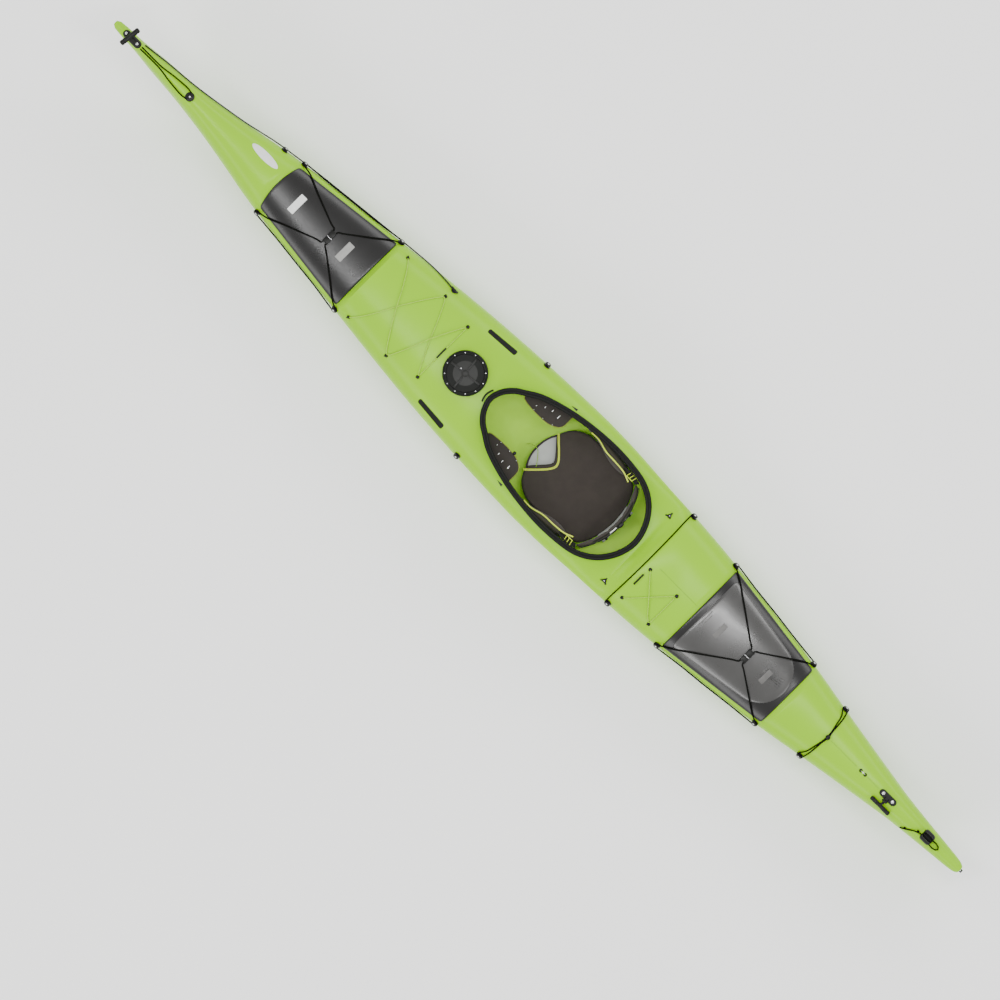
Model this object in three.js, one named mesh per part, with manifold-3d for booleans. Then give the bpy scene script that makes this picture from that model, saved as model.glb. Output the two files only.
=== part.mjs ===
// Sea kayak: hull and deck shells, hatches, cockpit, seat, foot braces, handles and deck lines.
// Millimetres. +X points to the bow, +Y to port and +Z up. The origin lies under the middle of
// the boat, level with the flat of its bottom. A place along the boat is given as s, the
// distance aft of the bow tip, and a place round the deck as a turn from -1 at the starboard
// gunwale, over the crown at 0, to 1 at the port gunwale.
import * as THREE from "three";
import { mergeVertices } from "three/addons/utils/BufferGeometryUtils.js";
import Module from "manifold-3d";

const wasm = await Module();
wasm.setup();

// Driving sizes of the boat
const OVERALL_LENGTH = 5170;
const BEAM = 586;
const BOW_HEIGHT = 388;
const WALL = 6;
const GAP = 0.3;
const OVERRUN = 20;
const SHEET_BURY = 2;
const MERGE_REACH = 1e-4;

// Rudder bush on the stern
const BUSH_DEPTH = 15;
const BUSH_WIDTH = 15;
const BUSH_HEIGHT = 52;
const BUSH_BASE_Z = 226;
const BUSH_BORE = 8;

const HULL_LENGTH = OVERALL_LENGTH - BUSH_DEPTH - GAP;
const HALF_BEAM = BEAM / 2;
const MID_X = OVERALL_LENGTH / 2;

// A place along the boat, from the bow, at a share of the hull's length.
const at = (share) => share * HULL_LENGTH;

// A route's points with their shares of the length turned into places along the boat.
const alongBoat = (points) => points.map(([share, ...rest]) => [at(share), ...rest]);

// A route's points with their distances aft of a fitting turned into places along the boat.
const beside = (start, points) => points.map(([aft, ...rest]) => [start + aft, ...rest]);

// Lines of the boat, each as shares of the hull length and of the size named after them
const CROWN_SHARES = [
  [0, 1], [0.0227, 0.987], [0.05, 0.966], [0.0873, 0.92], [0.1253, 0.879], [0.1505, 0.863],
  [0.1843, 0.848], [0.1886, 0.827], [0.2506, 0.796], [0.2968, 0.791], [0.3003, 0.851],
  [0.323, 0.858], [0.3802, 0.871], [0.4248, 0.881], [0.4462, 0.884], [0.485, 0.851],
  [0.5335, 0.807], [0.5723, 0.765], [0.6033, 0.701], [0.6188, 0.686], [0.6256, 0.732],
  [0.6328, 0.804], [0.6402, 0.809], [0.6634, 0.791], [0.6883, 0.781], [0.691, 0.76],
  [0.7371, 0.742], [0.7969, 0.688], [0.8, 0.714], [0.8274, 0.724], [0.8776, 0.745],
  [0.9026, 0.763], [0.9529, 0.768], [1, 0.765],
]; // of BOW_HEIGHT
const KEEL_SHARES = [
  [0, 0.959], [0.0048, 0.876], [0.0116, 0.786], [0.0227, 0.67], [0.0491, 0.407],
  [0.0778, 0.245], [0.1042, 0.178], [0.1505, 0.137], [0.2006, 0.098], [0.2506, 0.072],
  [0.3009, 0.052], [0.3509, 0.028], [0.4012, 0.013], [0.4462, 0], [0.6014, 0],
  [0.6518, 0.021], [0.702, 0.036], [0.7523, 0.057], [0.8023, 0.075], [0.8524, 0.098],
  [0.9026, 0.126], [0.9575, 0.157], [0.9767, 0.196], [0.9887, 0.291], [0.9971, 0.418],
  [1, 0.552],
]; // of BOW_HEIGHT
const SEAM_SHARES = [
  [0, 0.979], [0.0227, 0.881], [0.0468, 0.794], [0.097, 0.701], [0.1746, 0.613],
  [0.298, 0.559], [0.4436, 0.559], [0.6343, 0.508], [0.6949, 0.482], [0.8014, 0.474],
  [0.8485, 0.503], [0.9117, 0.572], [0.9699, 0.649], [1, 0.696],
]; // of BOW_HEIGHT
const HALF_BEAM_SHARES = [
  [0, 0.044], [0.0023, 0.068], [0.025, 0.092], [0.05, 0.137], [0.0753, 0.171],
  [0.1003, 0.222], [0.1253, 0.287], [0.1505, 0.365], [0.1756, 0.447], [0.2006, 0.512],
  [0.2506, 0.614], [0.3009, 0.71], [0.3509, 0.809], [0.4012, 0.894], [0.4512, 0.952],
  [0.5015, 0.99], [0.5265, 1], [0.5517, 0.993], [0.6017, 0.942], [0.6518, 0.894],
  [0.702, 0.812], [0.7523, 0.717], [0.8023, 0.59], [0.8524, 0.437], [0.8776, 0.365],
  [0.9026, 0.294], [0.9276, 0.225], [0.9529, 0.174], [0.9779, 0.13], [0.9913, 0.106],
  [0.9981, 0.085], [1, 0.065],
]; // of HALF_BEAM
const CHINE_HEIGHT_SHARES = [
  [0, 0.45], [0.167, 0.39], [0.344, 0.24], [0.459, 0.12], [0.58, 0.12], [0.68, 0.196],
  [0.8, 0.335], [0.9, 0.42], [1, 0.45],
]; // of the height from keel to seam
const CHINE_WIDTH_SHARES = [
  [0, 0.6], [0.1, 0.5], [0.25, 0.64], [0.42, 0.84], [0.6, 0.86], [0.75, 0.77], [0.88, 0.6],
  [1, 0.6],
]; // of the local half beam
const FLAT_WIDTH_SHARES = [
  [0, 0.25], [0.05, 0.12], [0.2, 0.08], [0.4, 0.36], [0.446, 0.42], [0.6, 0.42], [0.68, 0.3],
  [0.8, 0.1], [0.95, 0.12], [1, 0.25],
]; // of the local chine width
const STATION_SHARES = [
  0, 0.0023, 0.0116, 0.0227, 0.05, 0.0778, 0.1042, 0.1253, 0.1505, 0.1843, 0.1886, 0.2506,
  0.2968, 0.3003, 0.323, 0.3802, 0.4248, 0.4462, 0.485, 0.51, 0.5335, 0.5523, 0.5723, 0.6033,
  0.6188, 0.6256, 0.6328, 0.6634, 0.6883, 0.691, 0.7371, 0.7969, 0.8, 0.8274, 0.8524, 0.8776,
  0.9026, 0.9276, 0.9575, 0.9767, 0.9887, 0.9971, 1,
];
const DECK_TURNS = 10;
const SIDE_SPAN_SHARES = [0.3, 0.65];
const SIDE_BULGE_SHARE = 0.3;
const BOTTOM_BULGE_SHARE = 0.35;
const SOLID_BOW_LENGTH = 90;
const SOLID_STERN_LENGTH = 70;

// Cockpit coaming: its outer outline as shares of its length and half width
const COAMING_FRONT_S = at(0.441151);
const COAMING_LENGTH = at(0.173046);
const COAMING_HALF_WIDTH = 239;
const COAMING_OUTLINE_SHARES = [
  [0, 0], [0.022, 0.262], [0.063, 0.443], [0.105, 0.546], [0.174, 0.701], [0.312, 0.866],
  [0.451, 0.959], [0.623, 1], [0.797, 0.933], [0.866, 0.831], [0.921, 0.675],
  [0.963, 0.469], [0.99, 0.237], [1, 0],
];
const COAMING_STEPS = 44;
const COAMING_RISE = 39.2;
const RIM_WIDTH = 22;
const RISER_THICKNESS = 5;
const LIP_THICKNESS = 5;
const TRIM_THICKNESS = 3;

// Hatch covers, held down by elastic lines to four deck eyes
const COVER_THICKNESS = 6;
const COVER_STANDOFF = 3;
const COVER_RIM_WIDTH = 9;
const GASKET_WIDTH = 8;
const HATCH_LIP_WIDTH = 26;
const HATCH_CORNER = 26;
const FRONT_HATCH = {
  name: "front", startS: at(0.189148), endS: at(0.296622), startHalf: 126, endHalf: 184, bow: 27,
  buckleS: at(0.252585), foreEyeS: at(0.194386), aftEyeS: at(0.297592),
};
const REAR_HATCH = {
  name: "rear", startS: at(0.69199), endS: at(0.796749), startHalf: 224, endHalf: 158, bow: 0,
  buckleS: at(0.747861), foreEyeS: at(0.688304), aftEyeS: at(0.792481),
};
const DOME_LENGTH = at(0.093119);
const DOME_HALF_WIDTH = 170;
const DOME_HEIGHT = 7;
const DOME_START_S = at(0.698392);
const DOME_TAPER_SHARE = 0.25;

// Side-release buckles on the hatch lines
const BUCKLE_LENGTH = 31;
const BUCKLE_HALF_SPAN = 31;
const BUCKLE_HEIGHT = 12;
const BUCKLE_SPLIT = 4;
const PRONG_LENGTH = 18;
const PRONG_WIDTH = 15;
const PRONG_HEIGHT = 5;

// Deck eyes, buttons with a neck that a line goes round
const EYE_RADIUS = 16;
const EYE_NECK_RADIUS = 7;
const EYE_BASE = 3;
const EYE_NECK = 7.6;
const EYE_CAP = 3;
const EYE_SIDES = 8;
const EYE_TURN_SHARE = 0.85;
const SIDE_RUN_SHARE = 0.91;
const SIDE_RUN_STEPS = [0.25, 0.5, 0.75];
// Quarter turns round an eye's neck: 0 is aft, 1 is down and 2 is forward.
const FORE_HOOK_TURNS = [2.6, 2, 1.5, 1];
const AFT_HOOK_TURNS = [1, 0.5, 0, -0.6];
const TOW_HOOK_TURNS = [1, 1.5, 2];
const TOW_SPAN_TURNS = [0.6, 0.4, 0.2, 0, -0.2, -0.4, -0.6];
const STERN_HOOK_TURNS = [2, 1.4, 0.6, 0];
const STERN_STRAND_TURNS = [0.12, 0.35, 0.55];

// Lines and elastics
const LINE_RADIUS = 3;
const LINE_SIDES = 8;
const LINE_CLEARANCE = 3;
const LAY_STEP = 70;
const CORNER_STEP = 7;
const CORNER_TURN = Math.PI / 5;
const THIN_LINE_SHARE = 0.8;
const ANCHOR_RADIUS = 9;
const ANCHOR_HEIGHT = 9;

// Round screw hatch ahead of the cockpit
const DAY_HATCH_S = at(0.413409);
const DAY_RADIUS = 100;
const DAY_MOUTH_RADIUS = 80;
const DAY_RIM_WALL = 9;
const DAY_RIM_RISE = 18;
const DAY_LID_RADIUS = 95;
const DAY_LID_RISE = 32;
const DAY_LID_EDGE = 11;
const DAY_LID_SKIRT_RADIUS = 72;
const DAY_LID_SKIRT = 13;
const DAY_SEAL_RADIUS = 2.5;
const DAY_RIB_WIDTH = 12;
const DAY_RIB_HEIGHT = 5;
const DAY_POD_DEPTH = 150;
const DAY_POD_WALL = 3;
const DAY_SIDES = 28;

// Bulkheads
const BULKHEAD_THICKNESS = 18;
const FRONT_BULKHEAD_S = at(0.339496);
const REAR_BULKHEAD_S = at(0.646012);

// Seat and back band
const SEAT_FRONT_S = at(0.498962);
const SEAT_REAR_S = at(0.579665);
const SEAT_HALF_WIDTH = 196;
const SEAT_SHOULDER_SHARE = 0.22;
const SEAT_ROUND_SHARE = 0.02;
const SEAT_TAPER_SHARE = 0.86;
const SEAT_BASE_TOP_Z = 54;
const CUSHION_THICKNESS = 38;
const CUSHION_EDGE = 20;
const CUSHION_DISH = 12;
// The cushion's rings, as shares of its outline: underside, widest, over the side, brow and dish.
const CUSHION_RING_SHARES = [0.94, 1, 0.97, 0.86, 0.6, 0.3];
const NOTCH_DEPTH = 112;
const NOTCH_HALF_WIDTH = 92;
const PAN_REAR_S = at(0.597125);
const HIP_PAD_FRONT_S = at(0.518362);
const HIP_PAD_REAR_S = at(0.568413);
const HIP_PAD_FRONT_Y = 228;
const HIP_PAD_REAR_Y = 206;
const HIP_PAD_THICKNESS = 40;
const HIP_PAD_BASE_Z = 76;
const HIP_PAD_TOP_Z = 258;
const BAND_SIDE_S = at(0.581993);
const BAND_CENTRE_S = at(0.593633);
const BAND_HALF_WIDTH = 186;
const BAND_BASE_Z = 112;
const BAND_TOP_Z = 246;
const BAND_THICKNESS = 26;
const BAND_PIVOT_Z = 98;
const BAND_LUG_Y = 56;
const BAND_LUG_WIDTH = 14;
const BAND_LUG_DEPTH = 16;
const EAR_WIDTH = 12;
const BAND_PIN_RADIUS = 4;

// Thigh braces
const BRACE_FRONT_S = at(0.464043);
const BRACE_REAR_S = at(0.503036);
const BRACE_THICKNESS = 10;
const BRACE_TOP_Z = 268;
const BRACE_OUTLINE_SHARES = [
  [0, 0.62], [0.16, 0.46], [0.42, 0.4], [0.72, 0.41], [0.94, 0.5], [1, 0.62], [1, 1],
  [0.55, 0.9], [0.14, 0.78],
];
const BRACE_OUTER_Y = 243;

// Foot braces
const RAIL_FRONT_S = at(0.355016);
const RAIL_LENGTH = at(0.081479);
const RAIL_Z = 112;
const RAIL_HEIGHT = 26;
const RAIL_THICKNESS = 10;
const RAIL_BOSS_LENGTH = 30;
const RAIL_STANDOFF = 12;
const PEG_S = at(0.393815);
const PEG_WIDTH = 80;
const PEG_HEIGHT = 100;
const PEG_THICKNESS = 10;
const PEG_SHOE_LENGTH = 50;

// Handles
const BOW_PLATE_S = at(0.019012);
const BOW_PLATE_LENGTH = 99;
const BOW_PLATE_WIDTH = 34;
const PLATE_THICKNESS = 5;
const TOGGLE_S = at(0.016684);
const TOGGLE_LENGTH = 101;
const TOGGLE_RADIUS = 12.5;
const TOGGLE_RISE = 41;
const TOGGLE_POST_RADIUS = 6;
const STERN_PLATE_S = at(0.915087);
const STERN_PLATE_LENGTH = 92;
const STERN_PLATE_WIDTH = 31;
const STERN_BAR_LENGTH = 109;
const STERN_BAR_RADIUS = 10;
const STERN_BAR_Y = 44;
const STERN_PIVOT_Y = 21;
const STERN_PIVOT_RISE = 9;
const STERN_LUG_WIDTH = 12;
const STERN_KNUCKLE_RADIUS = 5.5;
const STERN_PIN_RADIUS = 2.5;
const STERN_WEB_THICKNESS = 7;

// Rudder rest, bail and bow eye
const REST_S = at(0.961841);
const REST_LENGTH = 55;
const REST_WIDTH = 56;
const REST_HEIGHT = 44;
const REST_GROOVE_RADIUS = 12;
const REST_FOOT = 3;
const KNOT_RADIUS = 6;
const BAIL_S = at(0.8856);
const BAIL_SPAN = 26;
const BAIL_HEIGHT = 24;
const BAIL_FOOT_RADIUS = 6;
const BAIL_WIRE_RADIUS = 2.5;
const BEAD_RADIUS = 11;
const BEAD_S = at(0.84389);
const BOW_EYE_S = at(0.086911);
const BOW_EYE_RADIUS = 15;
const BOW_EYE_HEIGHT = 9;

// Routes of the lines, chosen by hand. Each point is a place along the boat, a place across it
// and a lift above the line's own rest on the deck, in millimetres.
const BOW_LOOP_ROUTE = alongBoat([
  [0.029488, 4.5, 0], [0.04171, 4, 0], [0.052573, 4, 0], [0.064019, 13, 0], [0.077599, 19, 0],
  [0.085359, 20, 0], [0.089821, 11, 0], [0.090791, 0, 0], [0.089821, -11, 0], [0.085359, -20, 0],
  [0.077599, -19, 0], [0.064019, -13, 0], [0.052573, -4, 0], [0.04171, -4, 0], [0.029488, -4.5, 0],
]);
const FOREDECK_ROUTE = alongBoat([
  [0.310784, 184, 0], [0.333288, 4, 0], [0.355986, -174, 0], [0.3717, -6, 0], [0.387413, 156, 0],
  [0.387413, 0, 0], [0.387413, -149, 0], [0.3717, 5, 8], [0.355986, 187, 0], [0.333288, 6, 8],
  [0.310784, -176, 0],
]);
const AFT_DECK_ROUTE = alongBoat([
  [0.639222, 203, 0], [0.654936, 118, 0], [0.67065, 32, 0], [0.67065, 118, 0], [0.67065, 203, 0],
  [0.654936, 118, 8], [0.639222, 32, 0],
]);
const REST_LOOP_ROUTE = beside(REST_S, [
  [24, -4, 10], [47, -10, 4], [68, -6, 2], [78, 5, 2], [70, 16, 2],
  [47, 19, 5], [24, 13, 12],
]);
const REST_TIE_ROUTE = beside(REST_S, [
  [-24, 6, 9], [-46, 10, 5], [-70, 24, 2], [-96, 42, 1], [-113, 50, 1],
]);
// The painter's points give a turn round the deck for the place across it.
const PAINTER_FORE_ROUTE = alongBoat([
  [0.030264, -0.42, 0], [0.057423, -0.6, 0], [0.086911, -0.68, 0], [0.112519, -0.78, 0],
  [0.137544, -0.85, 0], [0.163346, -0.965, 5],
]);
const PAINTER_AFT_ROUTE = alongBoat([
  [0.180806, -0.975, 1], [0.191088, -0.995, 0], [0.246377, -0.995, 0], [0.300308, -0.995, 0],
  [0.318156, -0.98, 0], [0.337556, -0.85, 0], [0.357538, -0.71, 0],
]);
// A hatch line's points on its straight way from its buckle to the eye.
const LEG_STEPS = [0.1, 0.3, 0.55, 0.84];

// Finishes
const FINISHES = {
  lime: { color: "#a6e52b", roughness: 0.35, metalness: 0 },
  rubber: { color: "#1c1c1a", roughness: 0.7, metalness: 0 },
  cover: { color: "#2c2b28", roughness: 0.3, metalness: 0 },
  nylon: { color: "#1a1b19", roughness: 0.5, metalness: 0 },
  cord: { color: "#20221c", roughness: 0.8, metalness: 0 },
  elastic: { color: "#b4dc3c", roughness: 0.8, metalness: 0 },
  fabric: { color: "#433c3a", roughness: 0.9, metalness: 0 },
  foam: { color: "#b9bbb8", roughness: 0.9, metalness: 0 },
  alloy: { color: "#8d9094", roughness: 0.35, metalness: 0.9 },
};
const kayak = new THREE.Group();

// The value of a table of [share, value] pairs at a share, on a smooth curve without overshoot.
function curve(table, share) {
  const last = table.length - 1;
  if (share <= table[0][0]) return table[0][1];
  if (share >= table[last][0]) return table[last][1];
  const chord = (i) => (table[i + 1][1] - table[i][1]) / (table[i + 1][0] - table[i][0]);
  const slope = (i) => {
    if (i === 0) return chord(0);
    if (i === last) return chord(last - 1);
    const before = chord(i - 1);
    const after = chord(i);
    return before * after <= 0 ? 0 : (2 * before * after) / (before + after);
  };
  const i = table.findIndex((row, k) => k < last && share < table[k + 1][0]);
  const span = table[i + 1][0] - table[i][0];
  const t = (share - table[i][0]) / span;
  const u = 1 - t;
  return (
    table[i][1] * u * u * (1 + 2 * t) + table[i + 1][1] * t * t * (1 + 2 * u) +
    span * t * u * (slope(i) * u - slope(i + 1) * t)
  );
}

// The measures of the boat at one station.
function station(share) {
  const half = HALF_BEAM * curve(HALF_BEAM_SHARES, share);
  const keel = BOW_HEIGHT * curve(KEEL_SHARES, share);
  const seam = BOW_HEIGHT * curve(SEAM_SHARES, share);
  const chineHalf = half * curve(CHINE_WIDTH_SHARES, share);
  const flatShare = curve(FLAT_WIDTH_SHARES, share);
  return {
    s: HULL_LENGTH * share,
    half,
    keel,
    seam,
    crown: BOW_HEIGHT * curve(CROWN_SHARES, share),
    chineHalf,
    chineZ: keel + (seam - keel) * curve(CHINE_HEIGHT_SHARES, share),
    flatHalf: chineHalf * flatShare,
    floorLift: 2 - flatShare,
  };
}
const STATIONS = STATION_SHARES.map(station);

// The measures at any s, straight between the stations as the shells' panels are.
function rowAt(s) {
  const last = STATIONS.length - 2;
  const found = STATIONS.findIndex((row, k) => k <= last && s <= STATIONS[k + 1].s);
  const i = found < 0 ? last : found;
  const a = STATIONS[i];
  const b = STATIONS[i + 1];
  const t = (s - a.s) / (b.s - a.s);
  return Object.fromEntries(Object.keys(a).map((key) => [key, a[key] + (b[key] - a[key]) * t]));
}

// The stations from one s to another, with a row of measures at both ends.
function rowsBetween(fromS, toS) {
  const inside = STATIONS.filter((row) => row.s > fromS + GAP && row.s < toS - GAP);
  return [rowAt(fromS), ...inside, rowAt(toS)];
}

// One side of the hull at a station, from the seam down to the edge of the flat bottom.
function hullHalf(row, inset) {
  const seam = new THREE.Vector2(row.half - inset, row.seam);
  const chine = new THREE.Vector2(row.chineHalf - inset, row.chineZ + inset / 2);
  const flat = new THREE.Vector2(row.flatHalf, row.keel + inset * row.floorLift);
  const bulged = (a, b, t, share) => {
    const corner = new THREE.Vector2(a.x, b.y);
    const middle = a.clone().lerp(b, t);
    return middle.lerp(corner, share * 4 * t * (1 - t));
  };
  return [
    seam,
    ...SIDE_SPAN_SHARES.map((t) => bulged(seam, chine, t, SIDE_BULGE_SHARE)),
    chine,
    bulged(chine, flat, 1 / 2, BOTTOM_BULGE_SHARE),
    flat,
  ];
}

// A point on the deck profile: index 0 is the port gunwale and DECK_TURNS the starboard one.
function deckVertex(row, index, offset) {
  const angle = (Math.PI * index) / DECK_TURNS;
  const rise = row.crown - row.seam;
  const normal = new THREE.Vector2(Math.cos(angle) * rise, Math.sin(angle) * row.half).normalize();
  return new THREE.Vector2(
    row.half * Math.cos(angle) + normal.x * offset,
    row.seam + rise * Math.sin(angle) + normal.y * offset,
  );
}

function deckProfile(row, offset) {
  return Array.from({ length: DECK_TURNS + 1 }, (_, i) => deckVertex(row, i, offset));
}

const place = (s, y, z) => new THREE.Vector3(MID_X - s, y, z);
const ringAt = (s, profile) => profile.map((p) => place(s, p.x, p.y));
const mirrored = (half) => [...half, ...half.toReversed().map((p) => new THREE.Vector2(-p.x, p.y))];

// The place and the outward direction at a turn round the deck, a lift above its surface.
function onDeck(s, turn, lift) {
  const row = rowAt(s);
  const along = Math.min(((1 - turn) / 2) * DECK_TURNS, DECK_TURNS - GAP / DECK_TURNS);
  const index = Math.max(Math.floor(along), 0);
  const a = deckVertex(row, index, 0);
  const b = deckVertex(row, index + 1, 0);
  const tangent = b.clone().sub(a).normalize();
  const out = new THREE.Vector2(-tangent.y, tangent.x).negate();
  if (out.y < 0) out.negate();
  const point = a.lerp(b, along - index).addScaledVector(out, lift);
  return { point: place(s, point.x, point.y), out: new THREE.Vector3(0, out.x, out.y) };
}

// The turn round the deck at which it is y off the centreline.
function turnOf(s, y) {
  const share = THREE.MathUtils.clamp(y / rowAt(s).half, -1, 1);
  return Math.asin(share) / (Math.PI / 2);
}

const deckZ = (s, y) => onDeck(s, turnOf(s, y), 0).point.z;

// A closed geometry from points and triangles, turned so that its faces point out.
function closed(points, triangles) {
  let volume = 0;
  for (let i = 0; i < triangles.length; i += 3) {
    const [a, b, c] = [points[triangles[i]], points[triangles[i + 1]], points[triangles[i + 2]]];
    volume += a.dot(b.clone().cross(c));
  }
  const geometry = new THREE.BufferGeometry().setFromPoints(points);
  geometry.setIndex(volume < 0 ? triangles.toReversed() : triangles);
  return geometry;
}

// A solid through rings of equal count, capped at both ends unless the rings close on themselves.
function loft(rings, looped = false) {
  const count = rings[0].length;
  const triangles = [];
  const last = looped ? rings.length : rings.length - 1;
  for (let i = 0; i < last; i += 1) {
    const here = i * count;
    const next = ((i + 1) % rings.length) * count;
    for (let k = 0; k < count; k += 1) {
      const m = (k + 1) % count;
      triangles.push(here + k, next + k, next + m, here + k, next + m, here + m);
    }
  }
  if (!looped) {
    const start = rings[0].map((p) => new THREE.Vector2(p.y, p.z));
    const end = rings.at(-1).map((p) => new THREE.Vector2(p.y, p.z));
    const base = (rings.length - 1) * count;
    for (const [a, b, c] of THREE.ShapeUtils.triangulateShape(start, [])) {
      triangles.push(...orient(start, a, b, c, false));
    }
    for (const [a, b, c] of THREE.ShapeUtils.triangulateShape(end, [])) {
      triangles.push(...orient(end, a, b, c, true).map((k) => base + k));
    }
  }
  return closed(rings.flat(), triangles);
}

// The corners of a cap triangle, in the order that agrees with the sides of its loft.
function orient(outline, a, b, c, isEnd) {
  const clockwise = THREE.ShapeUtils.isClockWise(outline);
  const turned = THREE.ShapeUtils.isClockWise([outline[a], outline[b], outline[c]]);
  return (turned === clockwise) !== isEnd ? [a, b, c] : [c, b, a];
}

function solid(geometry) {
  const bare = geometry.clone();
  bare.deleteAttribute("normal");
  bare.deleteAttribute("uv");
  const merged = mergeVertices(bare, MERGE_REACH);
  return new wasm.Manifold(
    new wasm.Mesh({
      numProp: 3,
      vertProperties: new Float32Array(merged.attributes.position.array),
      triVerts: new Uint32Array(merged.index.array),
    }),
  );
}

function geometryOf(body) {
  const mesh = body.getMesh();
  const geometry = new THREE.BufferGeometry();
  geometry.setAttribute("position", new THREE.BufferAttribute(mesh.vertProperties, 3));
  geometry.setIndex(new THREE.BufferAttribute(mesh.triVerts, 1));
  const flat = geometry.toNonIndexed();
  flat.computeVertexNormals();
  return flat;
}

// Adds a named piece, from a solid or a geometry, in one of the finishes.
function add(name, body, finish) {
  const geometry = body.isBufferGeometry ? body : geometryOf(body);
  const mesh = new THREE.Mesh(geometry, new THREE.MeshStandardMaterial(FINISHES[finish]));
  mesh.name = name;
  kayak.add(mesh);
}

// The largest body of a cut piece, without the slivers that the cut leaves.
const largest = (body) =>
  body.decompose().reduce((best, one) => (one.volume() > best.volume() ? one : best));

const join = (...bodies) => bodies.reduce((whole, body) => whole.add(body));

// An upright block over an outline of points in s and y.
function prism(outline, lowZ, highZ) {
  const low = outline.map((p) => place(p.x, p.y, lowZ));
  const high = outline.map((p) => place(p.x, p.y, highZ));
  const count = outline.length;
  const triangles = [];
  for (let k = 0; k < count; k += 1) {
    const m = (k + 1) % count;
    triangles.push(k, m, count + m, k, count + m, count + k);
  }
  for (const face of THREE.ShapeUtils.triangulateShape(outline, [])) {
    const [a, b, c] = orient(outline, ...face, false);
    triangles.push(c, b, a, count + a, count + b, count + c);
  }
  return solid(closed([...low, ...high], triangles));
}

// An outline with each corner rounded by an arc that starts a radius away from it.
function rounded(corners, radius, steps = 4, isCorner = () => true) {
  return corners.flatMap((corner, i) => {
    if (!isCorner(i)) return [corner];
    const before = corners[(i + corners.length - 1) % corners.length];
    const after = corners[(i + 1) % corners.length];
    const start = corner.clone().add(before.clone().sub(corner).setLength(radius));
    const end = corner.clone().add(after.clone().sub(corner).setLength(radius));
    return new THREE.QuadraticBezierCurve(start, corner, end).getPoints(steps);
  });
}

// An outline moved inwards by a distance, square to each of its edges.
function inset(outline, distance) {
  const sign = THREE.ShapeUtils.isClockWise(outline) ? 1 : -1;
  const normal = (from, to) => {
    const edge = to.clone().sub(from).normalize();
    return new THREE.Vector2(sign * edge.y, -sign * edge.x);
  };
  return outline.map((p, i) => {
    const before = normal(outline[(i + outline.length - 1) % outline.length], p);
    const after = normal(p, outline[(i + 1) % outline.length]);
    const middle = before.clone().add(after).normalize();
    return p.clone().addScaledVector(middle, distance / middle.dot(before));
  });
}

// A long round-ended outline along the boat.
function oval(s, y, length, width, steps = 6) {
  const reach = (length - width) / 2;
  const end = (centre, from) =>
    Array.from({ length: steps + 1 }, (_, i) => {
      const angle = from + (Math.PI * i) / steps;
      return new THREE.Vector2(
        centre + (width / 2) * Math.cos(angle), y + (width / 2) * Math.sin(angle),
      );
    });
  return [...end(s + reach, -Math.PI / 2), ...end(s - reach, Math.PI / 2)];
}

// A box between two corners in s, y and z.
function block(s, y, z, length, width, height) {
  return prism(
    [
      new THREE.Vector2(s - length / 2, y - width / 2),
      new THREE.Vector2(s + length / 2, y - width / 2),
      new THREE.Vector2(s + length / 2, y + width / 2),
      new THREE.Vector2(s - length / 2, y + width / 2),
    ],
    z,
    z + height,
  );
}

// A turned piece: its profile is given as radius and height, and it stands at a point along an axis.
function turned(profile, at, axis, sides) {
  const lathe = new THREE.LatheGeometry(profile.map(([r, h]) => new THREE.Vector2(r, h)), sides);
  const turn = new THREE.Quaternion().setFromUnitVectors(new THREE.Vector3(0, 1, 0), axis);
  lathe.applyQuaternion(turn).translate(at.x, at.y, at.z);
  const bare = lathe.clone();
  bare.deleteAttribute("normal");
  bare.deleteAttribute("uv");
  const merged = mergeVertices(bare, MERGE_REACH);
  const points = [];
  for (let i = 0; i < merged.attributes.position.count; i += 1) {
    points.push(new THREE.Vector3().fromBufferAttribute(merged.attributes.position, i));
  }
  const faces = [];
  const index = merged.index.array;
  for (let i = 0; i < index.length; i += 3) {
    const [a, b, c] = [index[i], index[i + 1], index[i + 2]];
    if (a !== b && b !== c && a !== c) faces.push(a, b, c);
  }
  return solid(closed(points, faces));
}

const UP = new THREE.Vector3(0, 0, 1);
const ACROSS = new THREE.Vector3(0, 1, 0);
const ALONG = new THREE.Vector3(1, 0, 0);

// A round tube along points, as a line or an elastic lies.
function tube(points, radius) {
  const path = new THREE.CatmullRomCurve3(points, false, "centripetal");
  const last = points.length - 1;
  let across = new THREE.Vector3().crossVectors(path.getTangent(0), UP).normalize();
  const rings = points.map((point, i) => {
    const way = path.getTangent(i / last);
    across = across.clone().addScaledVector(way, -across.dot(way)).normalize();
    const other = new THREE.Vector3().crossVectors(way, across);
    return Array.from({ length: LINE_SIDES }, (_, k) => {
      const angle = (2 * Math.PI * k) / LINE_SIDES;
      return point
        .clone()
        .addScaledVector(across, radius * Math.cos(angle))
        .addScaledVector(other, radius * Math.sin(angle));
    });
  });
  return solid(loft(rings));
}

const TALL = BOW_HEIGHT + OVERRUN;
const HOLLOW_ROWS = rowsBetween(SOLID_BOW_LENGTH, HULL_LENGTH - SOLID_STERN_LENGTH);

// A solid under the deck's surface, moved off it by a distance, with straight sides below.
function archBody(rows, offset, drop) {
  const ring = (row) => {
    const arch = deckProfile(row, offset);
    const foot = (p) => new THREE.Vector2(p.x, p.y - drop);
    return ringAt(row.s, [foot(arch[0]), ...arch, foot(arch.at(-1))]);
  };
  return solid(loft(rows.map(ring)));
}

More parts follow.
